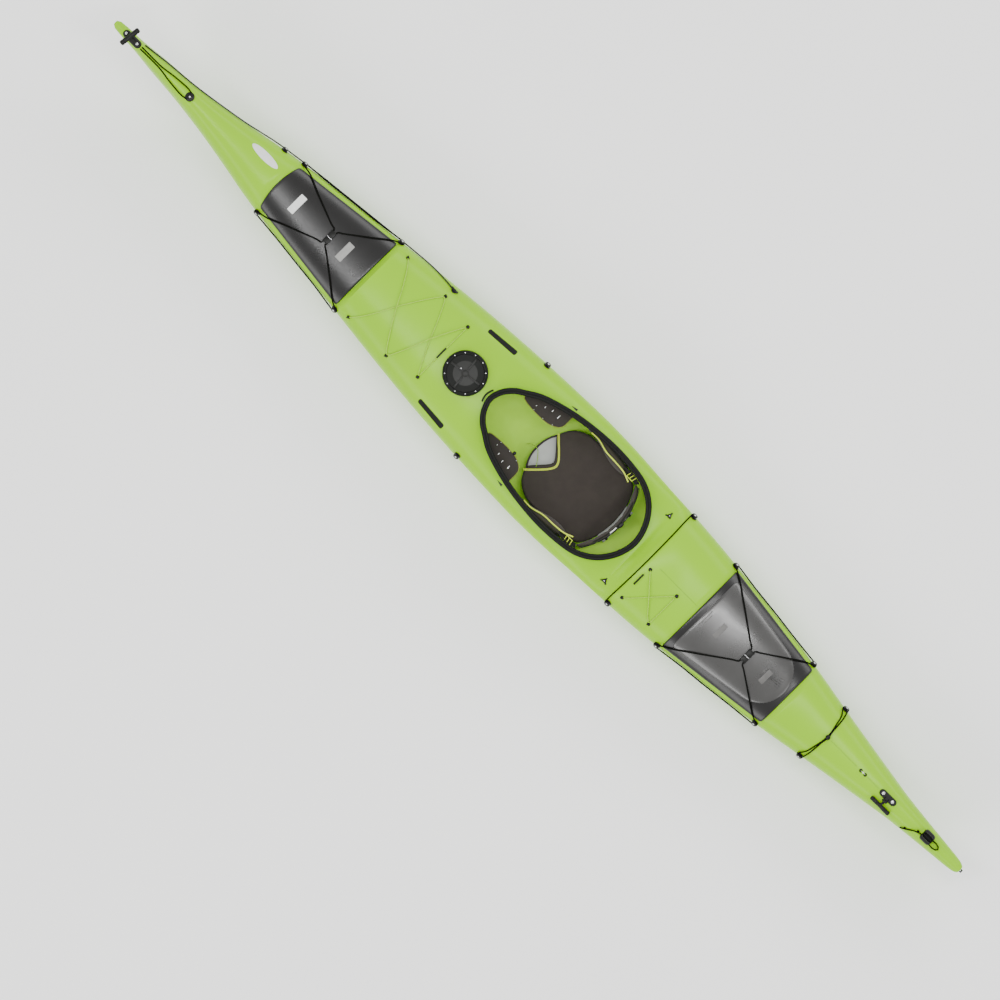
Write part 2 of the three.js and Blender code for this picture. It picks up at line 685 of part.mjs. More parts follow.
// The hollow of the hull, drawn in by a distance, with straight sides above the seam.
function hullHollow(drawnIn, rise) {
  const ring = (row) => {
    const half = hullHalf(row, drawnIn);
    const top = new THREE.Vector2(half[0].x, half[0].y + rise);
    return ringAt(row.s, mirrored([top, ...half]));
  };
  return solid(loft(HOLLOW_ROWS.map(ring)));
}

// The stations that bracket a stretch of the boat.
function bracket(fromS, toS) {
  const first = STATIONS.findLastIndex((row) => row.s <= fromS);
  const last = STATIONS.findIndex((row) => row.s >= toS);
  return STATIONS.slice(Math.max(first, 0), last < 0 ? STATIONS.length : last + 1);
}

const slab = (fromS, toS) => block((fromS + toS) / 2, 0, -TALL, toS - fromS, 2 * BEAM, 3 * TALL);

// A layer that follows the deck from one s to another, between two heights off its surface.
function layer(fromS, toS, low, high) {
  const rows = bracket(fromS, toS);
  return archBody(rows, high, OVERRUN)
    .subtract(archBody(rows, low, 2 * OVERRUN))
    .intersect(slab(fromS, toS));
}

// What a piece that seats on the deck is cut back from, under a stretch of the deck.
const deckSeat = (s, reach) => archBody(bracket(s - reach, s + reach), GAP, OVERRUN);

// The room inside both shells, clear of their walls.
const insideRoom = hullHollow(WALL + GAP, TALL).intersect(
  archBody(HOLLOW_ROWS, -(WALL + GAP), TALL),
);

// The two shells, moulded apart and joined along the seam
const coamingPath = (() => {
  const side = COAMING_OUTLINE_SHARES.map(
    ([along, out]) =>
      new THREE.Vector3(COAMING_FRONT_S + along * COAMING_LENGTH, out * COAMING_HALF_WIDTH, 0),
  );
  const back = side.slice(1, -1).toReversed().map((p) => new THREE.Vector3(p.x, -p.y, 0));
  return new THREE.CatmullRomCurve3([...side, ...back], true, "centripetal");
})();
const coamingOutline = coamingPath
  .getSpacedPoints(COAMING_STEPS)
  .slice(0, -1)
  .map((p) => new THREE.Vector2(p.x, p.y));
const cockpitMouth = inset(coamingOutline, RIM_WIDTH);
const coamingFrontZ = deckZ(COAMING_FRONT_S, 0) + COAMING_RISE;
const coamingRearZ = deckZ(COAMING_FRONT_S + COAMING_LENGTH, 0) + COAMING_RISE;
const rimZ = (s) =>
  coamingFrontZ + ((coamingRearZ - coamingFrontZ) * (s - COAMING_FRONT_S)) / COAMING_LENGTH;

// A band round the cockpit mouth. Its section lists distances out from the mouth and heights.
function coamingBand(section) {
  const rings = coamingOutline.map((outer, i) => {
    const inner = cockpitMouth[i];
    const out = outer.clone().sub(inner).normalize();
    return section(outer).map(([n, z]) => place(inner.x + out.x * n, inner.y + out.y * n, z));
  });
  return solid(loft(rings, true));
}

function makeHull() {
  const outer = STATIONS.map((row) => ringAt(row.s, mirrored(hullHalf(row, 0))));
  add("hull_shell", solid(loft(outer)).subtract(hullHollow(WALL, OVERRUN)), "lime");
}

// The outline of a hatch cover, drawn in from its edge by a distance.
function hatchOutline(hatch, drawnIn) {
  const { startS, endS, startHalf, endHalf, bow } = hatch;
  const edge = new THREE.QuadraticBezierCurve(
    new THREE.Vector2(startS + bow, -startHalf),
    new THREE.Vector2(startS - bow, 0),
    new THREE.Vector2(startS + bow, startHalf),
  ).getPoints(bow > 0 ? 6 : 1);
  const sharp = [...edge, new THREE.Vector2(endS, endHalf), new THREE.Vector2(endS, -endHalf)];
  const corners = inset(sharp, drawnIn);
  const isCorner = (i) => i === 0 || i >= edge.length - 1;
  return rounded(corners, HATCH_CORNER, 4, isCorner);
}

const hatchMouth = (hatch) => prism(hatchOutline(hatch, HATCH_LIP_WIDTH), 0, TALL);

const dayMouth = (radius, lowZ, highZ) =>
  turned(
    [[0, 0], [radius, 0], [radius, highZ - lowZ], [0, highZ - lowZ]],
    place(DAY_HATCH_S, 0, lowZ), UP, DAY_SIDES,
  );

function makeDeck() {
  const outer = STATIONS.map((row) =>
    ringAt(row.s, deckProfile({ ...row, seam: row.seam + GAP }, 0)),
  );
  const riser = coamingBand((p) => {
    const foot = deckZ(p.x, p.y) - WALL - SHEET_BURY;
    const top = rimZ(p.x);
    return [
      [0, foot], [0, top], [RIM_WIDTH - SHEET_BURY, top],
      [RIM_WIDTH - SHEET_BURY, top - LIP_THICKNESS], [RISER_THICKNESS, top - LIP_THICKNESS],
      [RISER_THICKNESS, foot],
    ];
  });
  const shell = solid(loft(outer))
    .subtract(archBody(HOLLOW_ROWS, -WALL, OVERRUN))
    .subtract(prism(cockpitMouth, 0, TALL))
    .subtract(hatchMouth(FRONT_HATCH))
    .subtract(hatchMouth(REAR_HATCH))
    .subtract(dayMouth(DAY_MOUTH_RADIUS + GAP, 0, TALL));
  add("deck_shell", shell.add(riser), "lime");
}

function makeCoamingTrim() {
  const band = coamingBand((p) => {
    const top = rimZ(p.x) + GAP;
    const under = rimZ(p.x) - LIP_THICKNESS - GAP;
    const edge = RIM_WIDTH - SHEET_BURY;
    const back = edge - TRIM_THICKNESS * 2;
    return [
      [0, top], [0, top + TRIM_THICKNESS], [edge + TRIM_THICKNESS, top + TRIM_THICKNESS],
      [edge + TRIM_THICKNESS, under - TRIM_THICKNESS], [back, under - TRIM_THICKNESS],
      [back, under], [edge + GAP, under], [edge + GAP, top],
    ];
  });
  add("coaming_trim", band, "rubber");
}

function makeBulkheads() {
  const plate = (s) => insideRoom.intersect(slab(s, s + BULKHEAD_THICKNESS));
  add("front_bulkhead", plate(FRONT_BULKHEAD_S), "foam");
  add("rear_bulkhead", plate(REAR_BULKHEAD_S), "foam");
}

// Hatch covers with their gaskets, buckles and lines
function ringLayer(hatch, low, high, outerIn, innerIn) {
  return layer(hatch.startS - OVERRUN, hatch.endS - GAP, low, high)
    .intersect(prism(hatchOutline(hatch, outerIn), 0, TALL))
    .subtract(prism(hatchOutline(hatch, innerIn), 0, TALL));
}

const COVER_TOP = COVER_STANDOFF + COVER_THICKNESS;

function makeCover(hatch) {
  const plate = layer(hatch.startS - OVERRUN, hatch.endS - GAP, COVER_STANDOFF, COVER_TOP)
    .intersect(prism(hatchOutline(hatch, 0), 0, TALL));
  const rim = ringLayer(hatch, GAP, COVER_STANDOFF + SHEET_BURY, 0, COVER_RIM_WIDTH);
  return plate.add(rim);
}

// The raised pear-shaped field on the rear cover, wide forward and narrowed aft.
function domeOutline() {
  const steps = 24;
  return Array.from({ length: steps }, (_, i) => {
    const angle = (2 * Math.PI * i) / steps;
    const along = (1 - Math.cos(angle)) / 2;
    const narrowed = 1 - DOME_TAPER_SHARE * along;
    return new THREE.Vector2(
      DOME_START_S + DOME_LENGTH * along, DOME_HALF_WIDTH * narrowed * Math.sin(angle),
    );
  });
}

function makeHatches() {
  const dome = layer(
    REAR_HATCH.startS, REAR_HATCH.endS - GAP, COVER_TOP - SHEET_BURY, COVER_TOP + DOME_HEIGHT,
  ).intersect(prism(domeOutline(), 0, TALL));
  add("front_hatch_cover", makeCover(FRONT_HATCH), "cover");
  add("rear_hatch_cover", makeCover(REAR_HATCH).add(dome), "cover");
  for (const hatch of [FRONT_HATCH, REAR_HATCH]) {
    const outer = COVER_RIM_WIDTH + 2 * GAP;
    const gasket = ringLayer(hatch, GAP, COVER_STANDOFF - GAP, outer, outer + GASKET_WIDTH);
    add(`${hatch.name}_hatch_gasket`, gasket, "rubber");
  }
}

const highest = (s, reach) => Math.max(deckZ(s - reach, 0), deckZ(s, 0), deckZ(s + reach, 0));
const coverTopZ = (hatch) =>
  highest(hatch.buckleS, BUCKLE_LENGTH / 2) + COVER_TOP +
  (hatch === REAR_HATCH ? DOME_HEIGHT : 0) + GAP;

function makeBuckle(hatch) {
  const z = coverTopZ(hatch);
  const s = hatch.buckleS;
  const bodySpan = BUCKLE_HALF_SPAN + BUCKLE_SPLIT;
  const tongueSpan = BUCKLE_HALF_SPAN - BUCKLE_SPLIT - GAP;
  const prongZ = z + (BUCKLE_HEIGHT - PRONG_HEIGHT) / 2;
  const body = block(
    s, BUCKLE_SPLIT - bodySpan / 2, z, BUCKLE_LENGTH, bodySpan, BUCKLE_HEIGHT,
  ).subtract(
    block(
      s, BUCKLE_SPLIT - PRONG_LENGTH / 2 + GAP, prongZ - GAP, PRONG_WIDTH + 2 * GAP,
      PRONG_LENGTH + 4 * GAP, PRONG_HEIGHT + 2 * GAP,
    ),
  );
  const tongue = block(
    s, BUCKLE_HALF_SPAN - tongueSpan / 2, z, BUCKLE_LENGTH, tongueSpan, BUCKLE_HEIGHT,
  ).add(
    block(
      s, BUCKLE_SPLIT + GAP - (PRONG_LENGTH - SHEET_BURY) / 2, prongZ, PRONG_WIDTH,
      PRONG_LENGTH + SHEET_BURY - GAP, PRONG_HEIGHT,
    ),
  );
  add(`${hatch.name}_buckle_body`, body, "nylon");
  add(`${hatch.name}_buckle_tongue`, tongue, "nylon");
}

// Deck eyes: the gunwale eyes that the lines go round
const EYE_PROFILE = [
  [0, 0], [EYE_RADIUS, 0], [EYE_RADIUS, EYE_BASE], [EYE_NECK_RADIUS, EYE_BASE],
  [EYE_NECK_RADIUS, EYE_BASE + EYE_NECK], [EYE_RADIUS - EYE_CAP, EYE_BASE + EYE_NECK],
  [EYE_RADIUS - 2 * EYE_CAP, EYE_BASE + EYE_NECK + EYE_CAP], [0, EYE_BASE + EYE_NECK + EYE_CAP],
];

function makeEye(name, s, side) {
  const seat = onDeck(s, side * EYE_TURN_SHARE, 0);
  const at = seat.point.clone().addScaledVector(seat.out, 2 * GAP);
  const eye = turned(EYE_PROFILE, at, seat.out, EYE_SIDES).subtract(deckSeat(s, EYE_RADIUS));
  add(name, eye, "nylon");
}

// A line's bend round a neck, wide enough for the neck's and the bend's own flats
const HOOK_RADIUS = (EYE_NECK_RADIUS + LINE_RADIUS) / Math.cos(Math.PI / 6) + 5 * GAP;
const HOOK_EXIT = 20;

const SIDES = [["port", 1], ["starboard", -1]];
const MID_EYE_S = at(0.457059);
const TOW_EYE_S = at(0.633985);
const STERN_EYE_S = at(0.838458);
const PAINTER_EYE_S = at(0.174016);

function makeEyes() {
  for (const [side, sign] of SIDES) {
    for (const hatch of [FRONT_HATCH, REAR_HATCH]) {
      makeEye(`${hatch.name}_hatch_fore_eye_${side}`, hatch.foreEyeS, sign);
      makeEye(`${hatch.name}_hatch_aft_eye_${side}`, hatch.aftEyeS, sign);
    }
    makeEye(`side_eye_${side}`, MID_EYE_S, sign);
    makeEye(`tow_eye_${side}`, TOW_EYE_S, sign);
    makeEye(`stern_eye_${side}`, STERN_EYE_S, sign);
  }
  makeEye("painter_eye", PAINTER_EYE_S, -1);
}

// The round screw hatch: rim, lid, seal and the pod that hangs below it
const dayRound = (profile) => turned(profile, place(DAY_HATCH_S, 0, 0), UP, DAY_SIDES);

function makeDayHatch() {
  const crown = deckZ(DAY_HATCH_S, 0);
  const rimTop = crown + DAY_RIM_RISE;
  const rim = dayRound([
    [DAY_RADIUS - DAY_RIM_WALL, crown - OVERRUN], [DAY_RADIUS, crown - OVERRUN],
    [DAY_RADIUS, rimTop], [DAY_RADIUS - DAY_RIM_WALL, rimTop],
    [DAY_RADIUS - DAY_RIM_WALL, crown + DAY_SEAL_RADIUS * 2],
    [DAY_MOUTH_RADIUS, crown + DAY_SEAL_RADIUS * 2], [DAY_MOUTH_RADIUS, crown - OVERRUN],
    [DAY_RADIUS - DAY_RIM_WALL, crown - OVERRUN],
  ]);
  add("day_hatch_rim", rim.subtract(deckSeat(DAY_HATCH_S, DAY_RADIUS)), "nylon");

  const lidBase = rimTop + GAP;
  const skirtZ = lidBase - DAY_LID_SKIRT;
  const lidTop = crown + DAY_LID_RISE;
  const lid = dayRound([
    [0, lidBase], [DAY_LID_SKIRT_RADIUS - DAY_LID_EDGE, lidBase],
    [DAY_LID_SKIRT_RADIUS - DAY_LID_EDGE, skirtZ], [DAY_LID_SKIRT_RADIUS, skirtZ],
    [DAY_LID_SKIRT_RADIUS, lidBase], [DAY_LID_RADIUS, lidBase],
    [DAY_LID_RADIUS, lidTop - DAY_RIB_HEIGHT], [DAY_LID_RADIUS - DAY_LID_EDGE, lidTop],
    [DAY_LID_RADIUS - 2 * DAY_LID_EDGE, lidTop],
    [DAY_LID_RADIUS - 2 * DAY_LID_EDGE - DAY_RIB_HEIGHT, lidTop - DAY_RIB_HEIGHT],
    [0, lidTop - DAY_RIB_HEIGHT],
  ]);
  const ribLength = 2 * (DAY_LID_RADIUS - 2 * DAY_LID_EDGE);
  const ribZ = lidTop - DAY_RIB_HEIGHT - SHEET_BURY;
  const ribHeight = DAY_RIB_HEIGHT + SHEET_BURY;
  const ribs = join(
    block(DAY_HATCH_S, 0, ribZ, ribLength, DAY_RIB_WIDTH, ribHeight),
    block(DAY_HATCH_S, 0, ribZ, DAY_RIB_WIDTH, ribLength, ribHeight),
  );
  add("day_hatch_lid", lid.add(ribs), "nylon");

  const sealZ = crown + DAY_SEAL_RADIUS * 3 + GAP;
  const sealRadius = DAY_LID_SKIRT_RADIUS + DAY_SEAL_RADIUS + 2 * GAP;
  const seal = Array.from({ length: 7 }, (_, i) => {
    const angle = (2 * Math.PI * i) / 6;
    return [
      sealRadius + DAY_SEAL_RADIUS * Math.cos(angle), sealZ + DAY_SEAL_RADIUS * Math.sin(angle),
    ];
  });
  add("day_hatch_seal", dayRound(seal), "rubber");

  const podTop = crown + DAY_SEAL_RADIUS * 2 - GAP;
  const podRadius = DAY_MOUTH_RADIUS - GAP;
  const podBase = crown - DAY_POD_DEPTH;
  const pod = dayRound([
    [0, podBase], [podRadius - OVERRUN, podBase], [podRadius, podBase + OVERRUN],
    [podRadius, podTop], [podRadius - DAY_POD_WALL, podTop],
    [podRadius - DAY_POD_WALL, podBase + OVERRUN],
    [podRadius - DAY_POD_WALL - OVERRUN, podBase + DAY_POD_WALL], [0, podBase + DAY_POD_WALL],
  ]);
  add("day_hatch_pod", pod, "rubber");
}

// Seat: a foam base on the hull floor, a fabric cover with a V notch, hip pads and a back band
function seatOutline() {
  const half = SEAT_HALF_WIDTH;
  const front = SEAT_FRONT_S;
  const length = SEAT_REAR_S - SEAT_FRONT_S;
  const arc = new THREE.QuadraticBezierCurve(
    new THREE.Vector2(front + length * SEAT_SHOULDER_SHARE, -half),
    new THREE.Vector2(front + length * SEAT_ROUND_SHARE, -half * SEAT_TAPER_SHARE),
    new THREE.Vector2(front, -NOTCH_HALF_WIDTH),
  ).getPoints(4);
  const notch = [new THREE.Vector2(front + NOTCH_DEPTH, 0)];
  const back = arc.toReversed().map((p) => new THREE.Vector2(p.x, -p.y));
  const rear = [[1, SEAT_TAPER_SHARE], [1, -SEAT_TAPER_SHARE]].map(
    ([along, out]) => new THREE.Vector2(front + length * along, half * out),
  );
  return [...arc, ...notch, ...back, ...rear];
}

function makeSeat() {
  const base = prism(
    rounded(
      [
        new THREE.Vector2(SEAT_FRONT_S + GAP, -NOTCH_HALF_WIDTH),
        new THREE.Vector2(PAN_REAR_S, -NOTCH_HALF_WIDTH),
        new THREE.Vector2(PAN_REAR_S, NOTCH_HALF_WIDTH),
        new THREE.Vector2(SEAT_FRONT_S + GAP, NOTCH_HALF_WIDTH),
      ],
      OVERRUN,
    ),
    0,
    SEAT_BASE_TOP_Z,
  ).intersect(insideRoom);
  const ears = [1, -1].map((sign) => {
    const y = sign * (BAND_LUG_Y + (BAND_LUG_WIDTH + EAR_WIDTH) / 2 + GAP);
    const ear = block(
      BAND_CENTRE_S, y, SEAT_BASE_TOP_Z - SHEET_BURY, 2 * BAND_LUG_DEPTH, EAR_WIDTH,
      BAND_PIVOT_Z - SEAT_BASE_TOP_Z + 2 * BAND_PIN_RADIUS + SHEET_BURY,
    );
    const reach = BAND_LUG_WIDTH + EAR_WIDTH;
    const pin = rod(
      BAND_PIN_RADIUS, place(BAND_CENTRE_S, y - sign * (EAR_WIDTH / 2 - SHEET_BURY), BAND_PIVOT_Z),
      ACROSS.clone().multiplyScalar(-sign), reach - EAR_WIDTH + SHEET_BURY,
    );
    return join(ear, pin);
  });
  add("seat_pan", join(base, ...ears), "foam");
  const cushion = seatCushion();
  add("seat_cushion", cushion, "fabric");
  for (const [side, sign] of SIDES) {
    const outline = rounded(
      [
        new THREE.Vector2(HIP_PAD_FRONT_S, sign * HIP_PAD_FRONT_Y),
        new THREE.Vector2(HIP_PAD_REAR_S, sign * HIP_PAD_REAR_Y),
        new THREE.Vector2(HIP_PAD_REAR_S, sign * (HIP_PAD_REAR_Y - HIP_PAD_THICKNESS)),
        new THREE.Vector2(HIP_PAD_FRONT_S, sign * (HIP_PAD_FRONT_Y - HIP_PAD_THICKNESS)),
      ],
      HIP_PAD_THICKNESS / 3,
    );
    const pad = prism(outline, HIP_PAD_BASE_Z, HIP_PAD_TOP_Z);
    const above = cushion.translate([0, 0, GAP]);
    const beside = cushion.translate([0, sign * GAP, 0]);
    add(`hip_pad_${side}`, largest(pad.subtract(above).subtract(beside)), "fabric");
  }
  makeBackBand();
}

// A curved back band on two lugs that turn on the seat pan's pins.
function makeBackBand() {
  const front = (y, out) => {
    const share = y / BAND_HALF_WIDTH;
    return BAND_CENTRE_S - (BAND_CENTRE_S - BAND_SIDE_S) * share * share + out;
  };
  const steps = 8;
  const edge = (out) =>
    Array.from({ length: steps + 1 }, (_, i) => {
      const y = BAND_HALF_WIDTH * (1 - (2 * i) / steps);
      return new THREE.Vector2(front(y, out), y);
    });
  const half = BAND_THICKNESS / 2;
  const outline = [...edge(-half), ...edge(half).toReversed()];
  const tall = BAND_TOP_Z - BAND_BASE_Z;
  const slim = inset(outline, half / 2);
  const body = prism(outline, BAND_BASE_Z + half, BAND_TOP_Z - half).add(
    prism(slim, BAND_BASE_Z, BAND_BASE_Z + tall),
  );
  const lugs = [1, -1].map((sign) => {
    const y = sign * BAND_LUG_Y;
    const foot = BAND_PIVOT_Z - BAND_LUG_DEPTH / 2;
    const lug = block(
      BAND_CENTRE_S, y, foot, BAND_LUG_DEPTH, BAND_LUG_WIDTH, BAND_BASE_Z - foot + SHEET_BURY * 2,
    );
    const start = place(BAND_CENTRE_S, y - BAND_LUG_WIDTH, BAND_PIVOT_Z);
    return lug.subtract(rod(BAND_PIN_RADIUS + GAP, start, ACROSS, 2 * BAND_LUG_WIDTH));
  });
  add("back_band", join(body, ...lugs), "fabric");
}

// A round rod from a point along a direction.
function rod(radius, from, direction, length, sides = 12) {
  return turned([[0, 0], [radius, 0], [radius, length], [0, length]], from, direction, sides);
}

// The seat cover's padding: crowned at its rim, dished under the sitter and drawn in at its edges.
function seatCushion() {
  const outline = seatOutline();
  const centre = new THREE.Vector2((SEAT_FRONT_S + SEAT_REAR_S) / 2 + OVERRUN, 0);
  const low = SEAT_BASE_TOP_Z + GAP;
  const middle = low + CUSHION_THICKNESS;
  const ringOf = (share, z) =>
    outline.map((p) => {
      const q = centre.clone().lerp(p, share);
      const side = Math.abs(q.y) / SEAT_HALF_WIDTH;
      return place(q.x, q.y, z + CUSHION_DISH * side * side * 2);
    });
  const heights = [
    low, low + CUSHION_EDGE / 2, low + CUSHION_EDGE, middle, middle - CUSHION_DISH / 2,
    middle - CUSHION_DISH,
  ];
  const rings = CUSHION_RING_SHARES.map((share, i) => ringOf(share, heights[i]));
  return stacked(rings, centre, low, middle - CUSHION_DISH);
}

// A closed form through rings one above another, each closed by a fan to its centre.
function stacked(rings, centre, lowZ, highZ) {
  const count = rings[0].length;
  const triangles = [];
  for (let i = 0; i < rings.length - 1; i += 1) {
    for (let k = 0; k < count; k += 1) {
      const m = (k + 1) % count;
      const [here, next] = [i * count, (i + 1) * count];
      triangles.push(here + k, here + m, next + m, here + k, next + m, next + k);
    }
  }
  const points = [...rings.flat(), place(centre.x, 0, lowZ), place(centre.x, 0, highZ)];
  const [low, high] = [points.length - 2, points.length - 1];
  const top = (rings.length - 1) * count;
  for (let k = 0; k < count; k += 1) {
    const m = (k + 1) % count;
    triangles.push(low, m, k, high, top + k, top + m);
  }
  return solid(closed(points, triangles));
}

// Thigh braces under the deck beside the cockpit mouth
function makeThighBraces() {
  const length = BRACE_REAR_S - BRACE_FRONT_S;
  for (const [side, sign] of SIDES) {
    const outline = BRACE_OUTLINE_SHARES.map(
      ([along, out]) =>
        new THREE.Vector2(BRACE_FRONT_S + along * length, sign * out * BRACE_OUTER_Y),
    );
    const plate = prism(outline, BRACE_TOP_Z - BRACE_THICKNESS, BRACE_TOP_Z);
    const seat = prism(outline, BRACE_TOP_Z - SHEET_BURY, TALL)
      .subtract(prism(coamingOutline, 0, TALL));
    add(`thigh_brace_${side}`, plate.add(seat).intersect(insideRoom), "nylon");
  }
}

// Half the width inside the hull at a place and a height.
function insideHalf(s, z) {
  const side = hullHalf(rowAt(s), WALL);
  const i = side.findIndex((p, k) => k > 0 && p.y <= z);
  const [above, below] = [side[i - 1], side[i]];
  return above.x + ((below.x - above.x) * (above.y - z)) / (above.y - below.y);
}

// Foot braces: a rail along each side of the hull, and a peg that slides on it
function makeFootBraces() {
  for (const [side, sign] of SIDES) {
    const start = new THREE.Vector2(RAIL_FRONT_S, insideHalf(RAIL_FRONT_S, RAIL_Z));
    const endS = RAIL_FRONT_S + RAIL_LENGTH;
    const end = new THREE.Vector2(endS, insideHalf(endS, RAIL_Z));
    const ahead = end.clone().sub(start).normalize();
    const inward = new THREE.Vector2(ahead.y, -ahead.x);
    const spot = (along, drawnIn) => {
      const p = start.clone().addScaledVector(ahead, along).addScaledVector(inward, drawnIn);
      return new THREE.Vector2(p.x, sign * p.y);
    };
    const bar = (fromA, toA, fromIn, toIn, lowZ, highZ) =>
      prism([spot(fromA, fromIn), spot(toA, fromIn), spot(toA, toIn), spot(fromA, toIn)], lowZ, highZ);
    const low = RAIL_Z - RAIL_HEIGHT / 2;
    const high = RAIL_Z + RAIL_HEIGHT / 2;
    const inner = RAIL_STANDOFF + RAIL_THICKNESS;
    const rail = join(
      bar(0, RAIL_LENGTH, RAIL_STANDOFF, inner, low, high),
      bar(0, RAIL_BOSS_LENGTH, -OVERRUN, inner - SHEET_BURY, low, high),
      bar(RAIL_LENGTH - RAIL_BOSS_LENGTH, RAIL_LENGTH, -OVERRUN, inner - SHEET_BURY, low, high),
    );
    add(`foot_rail_${side}`, rail.intersect(insideRoom), "alloy");
    const at = PEG_S - RAIL_FRONT_S;
    const shoeIn = inner + GAP;
    const padIn = shoeIn + PEG_THICKNESS;
    const peg = join(
      bar(at, at + PEG_SHOE_LENGTH, shoeIn, padIn, low, high),
      bar(at, at + PEG_THICKNESS, padIn - SHEET_BURY, padIn + PEG_WIDTH,
        RAIL_Z - PEG_HEIGHT / 2, RAIL_Z + PEG_HEIGHT / 2),
    );
    add(`foot_peg_${side}`, peg, "nylon");
  }
}

// Bow toggle: a cross bar on a post that turns in its plate
function makeBowHandle() {
  const reach = BOW_PLATE_LENGTH / 2;
  const top = highest(BOW_PLATE_S, reach) + PLATE_THICKNESS;
  const outline = oval(BOW_PLATE_S, 0, BOW_PLATE_LENGTH, BOW_PLATE_WIDTH);
  const base = deckZ(TOGGLE_S, 0) + 2 * GAP;
  const hole = rod(TOGGLE_POST_RADIUS + GAP, place(TOGGLE_S, 0, base - OVERRUN), UP, 2 * OVERRUN);
  const plate = prism(outline, top - OVERRUN, top)
    .subtract(deckSeat(BOW_PLATE_S, reach + OVERRUN))
    .subtract(hole);
  add("bow_handle_plate", plate, "nylon");

  const barZ = deckZ(TOGGLE_S, 0) + TOGGLE_RISE;
  const edge = TOGGLE_RADIUS / 3;
  const bar = turned(
    [
      [0, 0], [TOGGLE_RADIUS - edge, 0], [TOGGLE_RADIUS, edge],
      [TOGGLE_RADIUS, TOGGLE_LENGTH - edge], [TOGGLE_RADIUS - edge, TOGGLE_LENGTH],
      [0, TOGGLE_LENGTH],
    ],
    place(TOGGLE_S, -TOGGLE_LENGTH / 2, barZ), ACROSS, EYE_SIDES,
  );
  const post = rod(TOGGLE_POST_RADIUS, place(TOGGLE_S, 0, base), UP, barZ - base);
  add("bow_toggle", bar.add(post), "nylon");
}

// Stern handle: a bar on a web that folds down to port on its plate's pin
function makeSternHandle() {
  const reach = STERN_PLATE_LENGTH / 2;
  const crown = highest(STERN_PLATE_S, reach);
  const top = crown + PLATE_THICKNESS;
  const outline = oval(STERN_PLATE_S, 0, STERN_PLATE_LENGTH, STERN_PLATE_WIDTH);
  const pinZ = crown + STERN_PIVOT_RISE;
  const earSpan = STERN_LUG_WIDTH / 2 + GAP;
  const ears = [1, -1].map((sign) =>
    block(
      STERN_PLATE_S + sign * (earSpan + STERN_LUG_WIDTH / 4), STERN_PIVOT_Y, crown - OVERRUN / 2,
      STERN_LUG_WIDTH / 2, 2 * STERN_KNUCKLE_RADIUS,
      STERN_PIVOT_RISE + OVERRUN / 2 + STERN_KNUCKLE_RADIUS / 2,
    ),
  );
  const bridges = [1, -1].map((sign) =>
    block(
      STERN_PLATE_S + sign * (earSpan + STERN_LUG_WIDTH / 4), STERN_PIVOT_Y / 2,
      crown - OVERRUN / 2, STERN_LUG_WIDTH / 2, STERN_PIVOT_Y, OVERRUN / 2 + PLATE_THICKNESS,
    ),
  );
  const pin = rod(
    STERN_PIN_RADIUS, place(STERN_PLATE_S + earSpan + SHEET_BURY, STERN_PIVOT_Y, pinZ), ALONG,
    2 * (earSpan + SHEET_BURY),
  );
  const plate = join(prism(outline, top - OVERRUN, top), ...ears, ...bridges)
    .subtract(
      block(
        STERN_PLATE_S, STERN_PIVOT_Y + STERN_PLATE_WIDTH / 4, crown - OVERRUN,
        STERN_LUG_WIDTH + 2 * GAP, STERN_PLATE_WIDTH, 3 * OVERRUN,
      ),
    )
    .add(pin)
    .subtract(deckSeat(STERN_PLATE_S, reach + OVERRUN));
  add("stern_handle_plate", plate, "nylon");

  const barAt = onDeck(
    STERN_PLATE_S, turnOf(STERN_PLATE_S, STERN_BAR_Y), STERN_BAR_RADIUS + SHEET_BURY,
  ).point;
  const edge = STERN_BAR_RADIUS / 3;
  const bar = turned(
    [
      [0, 0], [STERN_BAR_RADIUS - edge, 0], [STERN_BAR_RADIUS, edge],
      [STERN_BAR_RADIUS, STERN_BAR_LENGTH - edge], [STERN_BAR_RADIUS - edge, STERN_BAR_LENGTH],
      [0, STERN_BAR_LENGTH],
    ],
    place(STERN_PLATE_S + STERN_BAR_LENGTH / 2, barAt.y, barAt.z), ALONG, EYE_SIDES,
  );
  const knuckleEnd = place(STERN_PLATE_S + STERN_LUG_WIDTH / 2, STERN_PIVOT_Y, pinZ);
  const knuckle = rod(STERN_KNUCKLE_RADIUS, knuckleEnd, ALONG, STERN_LUG_WIDTH);
  const half = STERN_LUG_WIDTH / 2;
  const thick = STERN_WEB_THICKNESS / 2;
  const web = solid(
    loft(
      [-half, half].map((along) => [
        place(STERN_PLATE_S - along, STERN_PIVOT_Y, pinZ + thick),
        place(STERN_PLATE_S - along, barAt.y, barAt.z + thick),
        place(STERN_PLATE_S - along, barAt.y, barAt.z - thick),
        place(STERN_PLATE_S - along, STERN_PIVOT_Y, pinZ - thick),
      ]),
    ),
  );
  const start = knuckleEnd.clone().addScaledVector(ALONG, -STERN_LUG_WIDTH);
  const bore = rod(STERN_PIN_RADIUS + GAP, start, ALONG, 3 * STERN_LUG_WIDTH);
  add("stern_handle", join(bar, knuckle, web).subtract(bore), "nylon");
}

